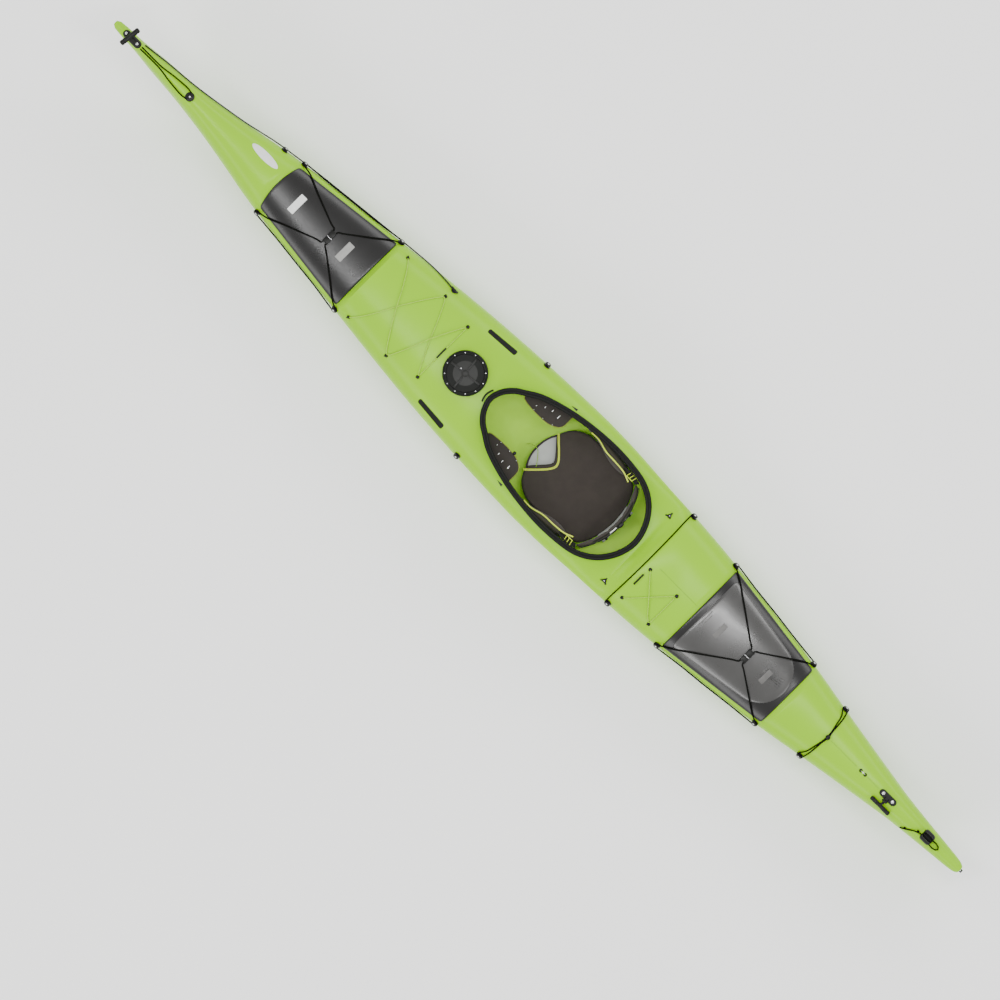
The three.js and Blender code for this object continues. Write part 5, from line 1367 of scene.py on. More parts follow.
# Hatches
@dataclass
class HatchSet:
    """A soft hatch cover with its gasket, its blank patches, its buckle and its lines."""

    hatch: Hatch
    patches: Sequence[tuple[float, float, float, float]] = ()
    dome_start: float = 3594.0
    dome_end: float = 4082.0
    dome_half: float = 200.0
    dome_end_half: float = 140.0
    line_mm: float = 3.4

    @property
    def body(self) -> str:
        """The body that the cover rides on."""
        return f"{self.hatch.name}_hatch"

    def cover(self) -> None:
        """The cover: a sheet with a rolled border and rounded corners."""
        hatch = self.hatch
        profile = ((0, 0.8), (1.2, 4.6), (3.4, 7.6), (7, 9.0), (12, 9.2), (400, 9.2))
        length = hatch.end - hatch.start
        rows = []
        for along in spread(length, 40):
            share = along / length
            half = hatch.start_half + (hatch.end_half - hatch.start_half) * share
            row = []
            for across in spread(2 * half, 26):
                a, b = min(along, length - along), min(across, 2 * half - across)
                depth = min(a, b)
                s, y = along, across
                if a < hatch.corner and b < hatch.corner:
                    p, q = 1 - a / hatch.corner, 1 - b / hatch.corner
                    p, q = p * sqrt(1 - q * q / 2), q * sqrt(1 - p * p / 2)
                    depth = hatch.corner * (1 - hypot(p, q))
                    s += copysign(hatch.corner * (1 - p) - a, length / 2 - along)
                    y += copysign(hatch.corner * (1 - q) - b, half - across)
                y -= half
                s += hatch.start + hatch.bow * (1 - share) * (y / half) ** 2
                row.append(BOAT.above(s, y, on_curve(profile, depth)))
            rows.append(row)
        sheet = loft(rows, closed=False, capped=False)
        crown = BOAT.above(hatch.buckle_s, 0, 9)
        piece = sheet.skinned(f"{hatch.name}_cover_rubber", Stuff.COVER, crown, 70, 3.2)
        keep(piece, self.body, f"{hatch.name}_hatch_cover")
        repaint(f"{hatch.name}_hatch_gasket", Stuff.RUBBER)

    def dome_outline(self) -> Outline:
        """The outline of the rear cover's raised field.

        Returns:
            An outline with straight sides and a round end aft.
        """
        centre = self.dome_end - self.dome_end_half
        arc = [
            (centre + self.dome_end_half * sin(angle), self.dome_end_half * cos(angle))
            for angle in (0.16 + (pi - 0.32) * k / 26 for k in range(27))
        ]
        corners = [(self.dome_start, -self.dome_half), (self.dome_start, self.dome_half), *arc]
        return divided(rounded(corners, 26), 12)

    def dome(self) -> None:
        """The rear cover's raised field."""

        profile = (
            (0, 8.4), (1.5, 10.4), (4, 11.8), (9, 12.9), (14, 13.4), (40, 14.4), (90, 15.6), (160, 16.2),
        )
        field = draped(self.dome_outline(), lambda s, y, d: on_curve(profile, d), (0, 0.8, 2, 4, 6.5, 10, 14))
        # The field's greyer finish is painted sheen.
        piece = field.skinned("rear_cover_raised_field", Stuff.DOME, BOAT.above(3850, 0, 16), 70, 3.0)
        keep(piece, self.body, "")

    def blanks(self) -> None:
        """The plain patches on the cover, as rounded sheets that lie on it."""
        for index, (s, y, length, width) in enumerate(self.patches):
            corners = ((-0.5, -0.5), (0.5, -0.5), (0.5, 0.5), (-0.5, 0.5))
            outline = rounded([(s + a * length, y + b * width) for a, b in corners], 3, 5)
            height = 9.2
            if self.hatch.dome:
                height = on_curve(((3600, 13.6), (3640, 14.8), (3700, 16.0), (3980, 16.2), (4030, 15.2)), s)
            stuff = Stuff.FAINT if self.hatch.dome else (Stuff.PATCH, Stuff.WORN)[index]
            outline = divided(outline, 9.0)
            sheet = draped(outline, lambda s, y, d: height + 0.5 * smooth_step(d / 2), (0, 1, 2))
            piece = sheet.skinned(f"{self.hatch.name}_cover_blank_{index}", stuff, BOAT.above(s, y, height))
            keep(piece, self.body, "")

    def top_z(self) -> float:
        """The height on which the buckle rests."""
        s = self.hatch.buckle_s
        crown = max(BOAT.above(s + d, 0).z / MM for d in (-15, 0, 15))
        return crown + 9.3 + self.hatch.dome

    def buckle(self) -> None:
        """The side-release buckle: a socket half and a tongue half with its prongs and bars."""
        s, z, name = self.hatch.buckle_s, self.top_z() + 6, self.hatch.name
        socket = (
            (0, -13.5, 0, (30, 34, 11), 3.2), (0, -29, 1, (31, 5, 12), 2.2),
            (-11, 0, 0.4, (6, 8, 11.4), 1.5), (11, 0, 0.4, (6, 8, 11.4), 1.5),
        )
        tongue = (
            (0, 18, 0, (30, 26, 11), 3.2), (0, 29, 1, (31, 4, 12), 1.8),
            (-5, -3, 0, (4, 16, 5), 1.2), (5, -3, 0, (4, 16, 5), 1.2),
        )
        for half, node, body, blocks in (
            ("socket", "body", self.body, socket), ("prongs", "tongue", f"{name}_buckle", tongue)
        ):
            shape = joined(block(place(s + a, y, z + up), size, edge) for a, y, up, size, edge in blocks)
            shape.kept(f"{name}_buckle_{half}", Stuff.NYLON, f"{name}_buckle_{node}", body=body)
        bar = tube([place(s - 13, 2, z + 5.2), place(s + 13, 2, z + 5.2)], 1.6, 12)
        bar.kept(f"{name}_buckle_bar", Stuff.STEEL, body=self.body)

    def lines(self) -> None:
        """The elastic lines from the buckle round the four eyes."""
        hatch = self.hatch
        buckle_y, z = 31.0 + self.line_mm, self.top_z() + 6
        rest = 9.0 + self.line_mm + 1.0

        def leg(eye: float, offset: float, sign: int) -> list[Vector]:
            """A line's way over the cover.

            Args:
                eye: The place of the eye that it goes to.
                offset: How far from the buckle's middle it starts.
                sign: 1 to port, -1 to starboard.

            Returns:
                Its points.
            """
            start = hatch.buckle_s + offset
            eye_y = abs(BOAT.on_deck(eye, EYES.turn).y) / MM
            points = []
            for share in (0.1, 0.3, 0.55, 0.84):
                s = start + (eye - start) * share
                turn = BOAT.turn_of(s, buckle_y + (eye_y - buckle_y) * share)
                points.append(BOAT.on_deck(s, sign * turn, rest + (hatch.dome if share < 0.8 else 0)))
            return points

        def end(offset: float, sign: int) -> list[Vector]:
            """The two points where a line leaves the buckle."""
            return [place(hatch.buckle_s + k * offset, sign * y, z) for k, y in ((1, 28), (1.5, 40))]

        for side, sign in SIDES:
            run = [
                BOAT.on_deck(hatch.fore_eye + (hatch.aft_eye - hatch.fore_eye) * t, sign * 0.89, 5.4)
                for t in (0.25, 0.5, 0.75)
            ]
            path = [
                *end(-7.75, sign), *leg(hatch.fore_eye, -7.75, sign),
                EYES.round_neck(hatch.fore_eye, sign, 2.6, 20),
                *EYES.bend(hatch.fore_eye, sign, (2.6, 2.3, 2, 1.75, 1.5, 1.25, 1)),
                *run,
                *EYES.bend(hatch.aft_eye, sign, (1, 0.75, 0.5, 0.25, 0, -0.3, -0.6)),
                EYES.round_neck(hatch.aft_eye, sign, -0.6, -20),
                *reversed(leg(hatch.aft_eye, 7.75, sign)), *reversed(end(7.75, sign)),
            ]
            body = f"{hatch.name}_buckle" if side == "port" else self.body
            cord, node = tube(spline(path, 4 * MM), self.line_mm, 10), f"{hatch.name}_hatch_line_{side}"
            cord.kept(f"{hatch.name}_cover_line_{side}", Stuff.CORD, node, body=body)

    def build(self) -> None:
        """Makes the cover and what belongs to it."""
        self.cover()
        if self.hatch.dome:
            self.dome()
        self.blanks()
        self.buckle()
        self.lines()


# Deck eyes
@dataclass(frozen=True)
class Eyes:
    """The buttons at the gunwale that the deck lines go round."""

    turn: float = 0.85
    hook: float = 13.0
    places: Sequence[tuple[str, float]] = (
        ("front_hatch_fore_eye", 1002), ("front_hatch_aft_eye", 1534), ("rear_hatch_fore_eye", 3548),
        ("rear_hatch_aft_eye", 4085), ("side_eye", 2356), ("tow_eye", 3268), ("stern_eye", 4322),
    )

    def round_neck(self, s: float, side: int, quarter: float, beyond: float = 0.0) -> Vector:
        """A point of a line's bend round an eye's neck.

        Args:
            s: The eye's place.
            side: 1 to port, -1 to starboard.
            quarter: Quarter turns: 0 is aft, 1 is down and 2 is forward.
            beyond: How far the line has gone on straight from there.

        Returns:
            The point.
        """
        down = BOAT.out(s, side * self.turn).cross(FORE)
        if down.z > 0:
            down = -down
        angle = quarter * pi / 2
        ahead = beyond * sin(angle) - self.hook * cos(angle)
        below = beyond * cos(angle) + self.hook * sin(angle)
        return BOAT.on_deck(s, side * self.turn, 7.4) + (FORE * ahead + down * below) * MM

    def bend(self, s: float, side: int, quarters: Sequence[float]) -> list[Vector]:
        """The points of a line's bend round the neck of the eye at s, at the given quarter turns."""
        return [self.round_neck(s, side, quarter) for quarter in quarters]

    def one(self, node: str, s: float, side: int) -> None:
        """One eye: a moulded button, and the head of its screw in a steel washer.

        Args:
            node: The eye's node.
            s: Its place.
            side: 1 to port, -1 to starboard.
        """
        out = BOAT.out(s, side * self.turn)
        foot = BOAT.on_deck(s, side * self.turn, 0.4)
        button = (
            (0, 0), (15.2, 0), (16, 0.8), (16, 2.1), (15, 3), (9.5, 3.3), (7.4, 4.6), (7, 6.8), (7.4, 9),
            (9.5, 10.3), (13, 10.7), (14.2, 11.6), (13.6, 12.8), (11, 13.7), (6.4, 14.1), (5.6, 13.4),
            (0, 13.2),
        )
        screw = ((0, 12.6), (4.4, 12.8), (5, 13.4), (4.6, 14.2), (2.6, 14.7), (1.2, 14.2), (0, 14.2))
        lathe(button, foot, out, 30).kept(f"{node}_button", Stuff.NYLON, node, crease=50)
        lathe(screw, foot, out, 20).kept(f"{node}_screw", Stuff.STEEL)

    def build(self) -> None:
        """Makes every eye."""
        for base, s in self.places:
            self.one(f"{base}_port", s, 1)
            self.one(f"{base}_starboard", s, -1)
        self.one("painter_eye", 897, -1)


EYES = Eyes()


# Round day hatch
@dataclass
class DayHatch:
    """The round screw hatch: rim, seal, lid with its ribs, and the pod below."""

    s: float = 2131.0
    sides: int = 72
    screws: int = 12
    rim: Outline = (
        (80.2, -9), (80.2, 4.4), (81, 5), (90.2, 5), (91, 5.6), (91.2, 14.6), (92.4, 16), (97.6, 16),
        (99.4, 14.8), (100, 12.6), (100, -4), (99, -16), (92, -17), (84, -12), (80.2, -9),
    )
    disc: Outline = (
        (70.4, 5.4), (71.8, 6), (72, 15.4), (74, 16.3), (94, 16.3), (95.6, 17.2), (96, 19), (96, 23.6),
        (94.6, 26.6), (91.6, 28.6), (87.4, 29.4), (84, 28.8), (82.4, 26.8), (81.4, 24.4), (79, 23.8),
        (70, 24.6), (50, 25.6), (26, 26.4), (8, 26.8), (0, 26.8),
    )
    grip: Outline = (
        (81.2, 25.4), (82.6, 28.4), (85, 29.7), (89, 29.6), (92.6, 28.6), (95, 26.6), (96.1, 24),
        (96.1, 20.4), (95.2, 20.4), (90, 25.0),
    )

    def build(self) -> None:
        """Makes the hatch."""
        foot = BOAT.above(self.s, 0)
        lathe(self.rim, foot, UP, self.sides).kept("day_hatch_ring", Stuff.NYLON, "day_hatch_rim", crease=40)
        repaint("day_hatch_seal", Stuff.RUBBER)
        repaint("day_hatch_pod", Stuff.RUBBER, 2.0)
        disc = lathe(self.disc, foot, UP, self.sides)
        disc.kept("day_hatch_disc", Stuff.LID, "day_hatch_lid", body="day_hatch")
        grip = lathe(self.grip, foot, UP, self.sides)
        grip.kept("day_hatch_grip_ring", Stuff.RUBBER, body="day_hatch", slot="nylon", crease=40)
        ribs = Shape()
        for k in range(4):
            turn = Matrix.Rotation(radians(6) + k * pi / 2, 3, "Z")
            ribs.join(block(foot + turn @ Vector((45, 0, 26.6)) * MM, (66, 9, 4.6), 2.0, turn))
        ribs.join(lathe(((15, 25), (15, 28.4), (13, 29.6), (6, 30), (0, 30)), foot, UP, 36))
        ribs.kept("day_hatch_ribs", Stuff.LID, body="day_hatch", crease=45)
        heads = Shape()
        for k in range(self.screws):
            angle = tau * (k + 0.5) / self.screws
            at = foot + Vector((cos(angle), sin(angle), 0)) * 89 * MM
            heads.join(lathe(((2.6, 28.8), (2.6, 29.9), (1.6, 30.4), (0, 30.4)), at, UP, 12))
        for sign in (-1, 1):
            at = foot + Vector((sign * 28, -2, 0)) * MM
            heads.join(lathe(((3.2, 26.2), (3.2, 27.6), (2, 28.4), (0, 28.6)), at, UP, 14))
        heads.kept("day_hatch_studs", Stuff.STEEL, body="day_hatch")


# Soft fittings in the cockpit
def pillow(outline: Outline, low: float, high: Callable[[float, float], float],
           edge: float, centre: tuple[float, float], crown: float = 0.0) -> Shape:
    """A padded form over an outline, with rounded sides and a top that follows a height.

    Args:
        outline: The widest outline, in s and y.
        low: The height of its underside.
        high: The height of its top at s and y.
        edge: How far in its rounded edge reaches, in millimetres.
        centre: The place that its rings shrink to.
        crown: How much the top rises towards the middle.

    Returns:
        The closed shape.
    """

    def ring(drawn_in: float, drop: float) -> Ring:
        """The ring at a distance in from the outline and a share of the height down."""
        return [place(s, y, high(s, y) - (high(s, y) - low) * drop) for s, y in inset(outline, drawn_in)]

    rings = [ring(edge * 0.5, 1.0), ring(edge * 0.12, 0.86), ring(0, 0.6), ring(edge * 0.06, 0.38)]
    for k in range(1, 8):
        angle = k * pi / 16
        rings.append(ring(edge * (0.06 + 0.94 * (1 - cos(angle))), 0.38 * (1 - sin(angle)) ** 1.25))
    inner = inset(outline, edge)
    middle = Vector(centre)
    for k in range(1, 13):
        share = 1 - k / 13
        points = []
        for s, y in inner:
            p = middle.lerp(Vector((s, y)), share)
            points.append(place(p.x, p.y, high(p.x, p.y) + crown * smooth_step((1 - share) * 1.6)))
        rings.append(points)
    shape = loft(rings, capped=False)
    count = len(outline)
    bottom, top = len(shape.points), len(shape.points) + 1
    shape.points += [place(*middle, z) for z in (low, high(*middle) + crown)]
    last = (len(rings) - 1) * count
    for k in range(count):
        m = (k + 1) % count
        shape.faces.append((m, k, bottom))
        shape.faces.append((last + k, last + m, top))
    return shape


def ribbon(path: Sequence[Vector], width_mm: float, thick_mm: float, across: Vector) -> Shape:
    """A flat strap along a path.

    Args:
        path: Its middle.
        width_mm: Its width.
        thick_mm: Its thickness.
        across: The way its width lies.

    Returns:
        The closed shape.
    """
    section = ((1, 0.4), (0.94, 1), (-0.94, 1), (-1, 0.4), (-1, -0.4), (-0.94, -1), (0.94, -1), (1, -0.4))
    rings = []
    for i, point in enumerate(path):
        way = (path[min(i + 1, len(path) - 1)] - path[max(i - 1, 0)]).normalized()
        wide = (across - way * across.dot(way)).normalized() * width_mm * MM / 2
        thin = way.cross(wide).normalized() * thick_mm * MM / 2
        rings.append([point + wide * u + thin * v for u, v in section])
    return loft(rings)


@dataclass
class SeatSet:
    """The seat with its cover, V notch, side pads and back band."""

    front: float = 2572.0
    rear: float = 2988.0
    half: float = 196.0
    base_z: float = 54.6

    def outline(self) -> Outline:
        """The cushion's shape from above.

        Returns:
            The outline, with the notch at its front.
        """
        half = [
            (3042, 0), (3038, 50), (3027, 108), (3011, 148), (2990, 176), (2955, 189), (2900, 195),
            (2830, 197), (2780, 199), (2739, 200), (2703, 197), (2672, 186), (2644, 170), (2619, 143),
            (2602, 108), (2601, 93), (2604, 85), (2636, 50), (2662, 20), (2676, 0),
        ]
        return divided([*half, *((s, -y) for s, y in reversed(half[1:-1]))], 16.0)

    def top(self, s: float, y: float) -> float:
        """The height of the cushion's top: dished under the sitter, risen at its sides and rear.

        Args:
            s: The place along the boat.
            y: The place across it.

        Returns:
            The height.
        """
        side = min(abs(y) / self.half, 1.0)
        along = (s - self.front) / (self.rear - self.front)
        dish = 12.0 * exp(-(((s - 2850) / 110) ** 2)) * exp(-((y / 105) ** 2))
        thigh = 4.5 * exp(-(((abs(y) - 92) / 42) ** 2)) * smooth_step((0.52 - along) / 0.4)
        tail = 24.0 * smooth_step((s - 2965) / 65)
        return 84.0 + 24.0 * side**2.4 - dish - thigh + 5.0 * smooth_step((along - 0.75) / 0.25) - tail

    def cushion(self) -> None:
        """The seat cushion with its lime piping round the notch and its sewn channels."""
        shape = pillow(self.outline(), self.base_z, self.top, 15, (2825, 0))
        piece = shape.built("seat_cushion_cover", Stuff.UPHOLSTERY, 80)
        for vertex in piece.data.vertices:
            s, y = MIDDLE_S - vertex.co.x / MM, vertex.co.y / MM
            if vertex.co.z / MM < self.top(s, y) - 8:
                continue
            wave = 10 * sin((s - 2700) / 120)
            groove = max(exp(-(((y - channel - wave) / 4.5) ** 2)) for channel in (-118, 118))
            wrinkle = noise.noise(Vector((s / 60, y / 60, 0.4))) * 1.7
            wrinkle += noise.noise(Vector((s / 22, y / 22, 2.0))) * 0.6
            vertex.co.z += (wrinkle - 1.6 * groove * smooth_step((s - 2690) / 30)) * MM
        subdivided(piece)
        keep(piece, "boat", "seat_cushion")
        self.pan()
        notch = (
            (2596, -104), (2620, -80), (2650, -52), (2674, -27), (2686, -9), (2689, 5), (2684, 20),
            (2670, 40), (2645, 67), (2618, 94), (2597, 113),
        )
        for name, grow, radius in (("outer", 5.6, 2.5), ("inner", 0.4, 2.1)):
            line = [place(s + grow, y * (1 + grow / 260), self.top(s, y) + 1.5) for s, y in notch]
            tube(spline(line, 4 * MM), radius, 12).kept(f"seat_notch_piping_{name}", Stuff.PIPING)
        loop = (
            (2533, 26, 60), (2540, 18, 64), (2553, 10, 67), (2568, 6, 68), (2584, 9, 68), (2600, 24, 70),
            (2615, 42, 76), (2632, 66, 88),
        )
        cord = tube(spline([place(*point) for point in loop], 3 * MM), 1.6, 8)
        cord.kept("seat_pull_cord", Stuff.ELASTIC, slot="fabric")
        front = ((2602, -96), (2588, -70), (2578, -38), (2575, 0), (2578, 38), (2588, 70), (2602, 96))
        edge = [place(s, y, self.base_z + 3) for s, y in front]
        tube(spline(edge, 5 * MM), 4.2, 10).kept("seat_front_binding", Stuff.UPHOLSTERY)

    def pan(self) -> None:
        """The foam pan under the cushion, with the ears that carry the back band's pins."""
        front = [(2602, 90), (2588, 68), (2579, 38), (2576, 0), (2579, -38), (2588, -68), (2602, -90)]
        foam = slab(divided([*front, (3072, -90), (3072, 90)], 18.0), 16, self.base_z - 0.4, 2.5)
        foam.kept("seat_pan_foam", Stuff.FOAM, "seat_pan")
        ears = joined(block(place(3060, sign * 71, 80), (28, 11, 56), 3) for sign in (-1, 1))
        ears.kept("seat_pan_ears", Stuff.NYLON)

    def side_pads(self) -> None:
        """The pads at the hips, with piping along their top edges, and the band's side straps."""
        for side, sign in SIDES:
            rings = []
            for t in (i / 40 for i in range(41)):
                inner, outer = 202 - 36 * t + 7 * sin(pi * t * 2), 232 - 14 * t
                ends = min(1.0, sin(pi * min(max(t, 0.02), 0.98)) ** 0.35)
                low, high = 104 + (1 - ends) * 40, 262 - (1 - ends) * 30
                rings.append([
                    place(2672 + 258 * t, sign * (inner + (outer - inner) * u), low + (high - low) * v)
                    for u, v in self.pad_section(ends)
                ])
            piece = loft(rings).built(f"hip_pad_cover_{side}", Stuff.UPHOLSTERY, 80)
            subdivided(piece)
            keep(piece, "boat", f"hip_pad_{side}")
            line = ((2697, 207), (2739, 208), (2801, 193), (2863, 190), (2918, 184), (2960, 168))
            points = [place(s, sign * y, 262 + 3 * sin(k)) for k, (s, y) in enumerate(line)]
            tube(spline(points, 4 * MM), 3.2, 12).kept(f"hip_pad_piping_{side}", Stuff.PIPING)
            strap = ((2905, 196, 255), (2935, 200, 258), (2968, 196, 250), (2994, 188, 236))
            path = spline([place(s, sign * y, z) for s, y, z in strap], 5 * MM)
            webbing = ribbon(path, 24, 2.4, Vector((0, 0.7 * sign, 0.7)))
            webbing.kept(f"band_webbing_{side}", Stuff.WEBBING)
            buckle = Shape()
            for s in (2936, 2952, 2968):
                buckle.join(tube([place(s, sign * 182, 259), place(s + 6, sign * 210, 260)], 1.7, 10))
            for s, y in ((2936, 182), (2941.6, 210)):
                buckle.join(tube([place(s, sign * y, 259.5), place(2970, sign * y, 259.5)], 1.9, 10))
            buckle.kept(f"band_buckle_{side}", Stuff.PIPING)

    @staticmethod
    def pad_section(ends: float) -> Outline:
        """A pad's rounded section.

        Args:
            ends: Its share of the full thickness, less than 1 near the pad's ends.

        Returns:
            Shares of its thickness and of its height.
        """
        section = []
        for angle in (tau * k / 28 for k in range(28)):
            u = 0.5 - 0.5 * swelled(cos(angle), 0.55) * (0.35 + 0.65 * ends)
            section.append((u, 0.5 + 0.5 * swelled(sin(angle), 0.6)))
        return section

    def back_band(self) -> None:
        """The back band: a padded curve with channels, piping, a strap and its buckle."""

        def bend(y: float) -> float:
            """The band's place along the boat at y."""
            return 3060 - 60 * (y / 186) ** 2

        rings = []
        for y in (-184 + 368 * i / 56 for i in range(57)):
            ends = min(1.0, (1 - (abs(y) / 186) ** 5) ** 0.5 + 0.12)
            half_height = 67 * (0.42 + 0.58 * ends)
            channel = max(exp(-(((abs(y) - k) / 5.0) ** 2)) for k in (46, 112))
            thick = (12.5 - 4.0 * channel) * (0.5 + 0.5 * ends)
            ring = []
            for angle in (tau * k / 24 for k in range(24)):
                s = bend(y) + thick * swelled(cos(angle), 0.7)
                ring.append(place(s, y, 179 + half_height * swelled(sin(angle), 0.62)))
            rings.append(ring)
        piece = loft(rings).built("back_band_cover", Stuff.UPHOLSTERY, 80)
        subdivided(piece)
        keep(piece, "back_band", "back_band")
        top = [place(bend(y) + 1, y, 245 - 30 * (abs(y) / 186) ** 6) for y in range(-178, 179, 8)]
        tube(top, 3.2, 10).kept("back_band_piping", Stuff.WEBBING, body="back_band")
        strap = ribbon([place(bend(y) + 12.5, y, 222) for y in range(-184, 185, 8)], 26, 2.2, UP)
        strap.kept("back_band_strap", Stuff.WEBBING, body="back_band")
        tab = ribbon([place(bend(y) + 4, y, 247.5) for y in range(8, 48, 5)], 5, 1.6, FORE)
        tab.kept("back_band_pale_tab", Stuff.PATCH, body="back_band", slot="fabric")
        clip = block(place(3070, -14, 236), (16, 26, 20), 3.5)
        clip.join(block(place(3068, 4, 240), (10, 10, 10), 2.5))
        clip.kept("back_band_clip", Stuff.NYLON, body="back_band")
        lugs = joined(block(place(3060, sign * 56, 102), (15, 13, 26), 3.5) for sign in (-1, 1))
        lugs.kept("back_band_hinge_lugs", Stuff.NYLON, body="back_band")

    def thigh_braces(self) -> None:
        """The grips under the deck at the thighs: padded plates with studs and lime piping."""
        shares = (
            (0, 0.5), (0.03, 0.44), (0.12, 0.415), (0.27, 0.4), (0.42, 0.395), (0.57, 0.397), (0.72, 0.41),
            (0.84, 0.445), (0.94, 0.5), (0.985, 0.555), (1, 0.62), (1, 0.8), (1, 0.99), (0.78, 0.955),
            (0.55, 0.9), (0.34, 0.845), (0.14, 0.78), (0.05, 0.7),
        )

        def high(s: float, y: float) -> float:
            """The height of the pad's ridged top."""
            return 268.5 + 0.9 * sin((s - 2392) / 9.5) * smooth_step((s - 2440) / 30)

        for side, sign in SIDES:
            outline = [(2380 + 213 * a, sign * 243 * b) for a, b in shares]
            pad = pillow(divided(outline, 9), 257.5, high, 8, (2515, sign * 160), 4.5)
            piece = pad.built(f"thigh_pad_{side}", Stuff.PADDING, 80)
            keep(piece, "boat", f"thigh_brace_{side}")
            edge = [place(2380 + 213 * a, sign * (243 * b - 0.5), 264.5) for a, b in shares[:12]]
            tube(spline(edge, 4 * MM), 2.0, 10).kept(f"thigh_pad_piping_{side}", Stuff.BINDING)
            studs = Shape()
            for s, y in ((2450, 101), (2504, 101), (2553, 110)):
                at = place(s, sign * y, high(s, y) + 3.6)
                studs.join(lathe(((2.2, -1), (2.1, 0.8), (1.3, 1.6), (0, 1.8)), at, UP, 14))
            for s, y, reach in ((2446, 120, 6), (2478, 142, 9), (2512, 155, 12), (2549, 154, 19)):
                studs.join(block(place(s, sign * y, high(s, y) + 4.2), (3.6, reach, 2.4), 1.0))
            studs.kept(f"thigh_pad_studs_{side}", Stuff.STEEL)
            corners = ((2440, 196), (2585, 236), (2585, 214), (2440, 176))
            hanger = prism([(s, sign * y) for s, y in corners], 262, 284)
            hanger.kept(f"thigh_pad_hanger_{side}", Stuff.NYLON)
        knob = lathe(((7, 0), (8, 2), (8, 7), (6.5, 9), (3, 10), (0, 10)), place(2525, 92, 262), UP, 20)
        knob.join(block(place(2525, 98, 262), (10, 16, 6), 2))
        knob.kept("thigh_pad_adjuster", Stuff.NYLON)

    def foot_braces(self) -> None:
        """The foot braces, which keep their solids."""
        for side in ("port", "starboard"):
            repaint(f"foot_rail_{side}", Stuff.STEEL, 1.2)
            repaint(f"foot_peg_{side}", Stuff.NYLON, 2.0)

    def build(self) -> None:
        """Makes everything in the cockpit."""
        self.cushion()
        self.side_pads()
        self.back_band()
        self.thigh_braces()
        self.foot_braces()


def subdivided(piece: Piece) -> None:
    """Adds one subdivision to a piece."""
    step = piece.modifiers.new("smooth", "SUBSURF")
    step.levels = 1
    step.render_levels = 1


# Lines and elastics
def laid(route: Route, lift: float, turns: bool = False) -> list[Vector]:
    """A line's path over the deck through a route.

    Args:
        route: Places along the boat, places across it and lifts above the line's own rest.
        lift: The height of the line's middle off the deck.
        turns: Whether the places across are turns round the deck.

    Returns:
        The path.
    """
    spots = [(s, y if turns else BOAT.turn_of(s, y), up) for s, y, up in route]
    path = [BOAT.on_deck(spots[0][0], spots[0][1], lift + spots[0][2])]
    for a, b in zip(spots, spots[1:]):
        length = (BOAT.on_deck(*b[:2]) - BOAT.on_deck(*a[:2])).length / MM
        count = max(int(length // 14), 1)
        for k in range(1, count + 1):
            t = k / count
            s, turn, up = (a[i] + (b[i] - a[i]) * t for i in range(3))
            path.append(BOAT.on_deck(s, turn, lift + up))
    return path


def softly(path: Sequence[Vector], rounds: int = 3) -> list[Vector]:
    """A path with its corners eased.

    Args:
        path: The path.
        rounds: How many times each point is drawn towards its neighbours.

    Returns:
        As many points.
    """
    for _ in range(rounds):
        inner = zip(path, path[1:], path[2:])
        path = [path[0], *(b * 0.5 + (a + c) * 0.25 for a, b, c in inner), path[-1]]
    return path


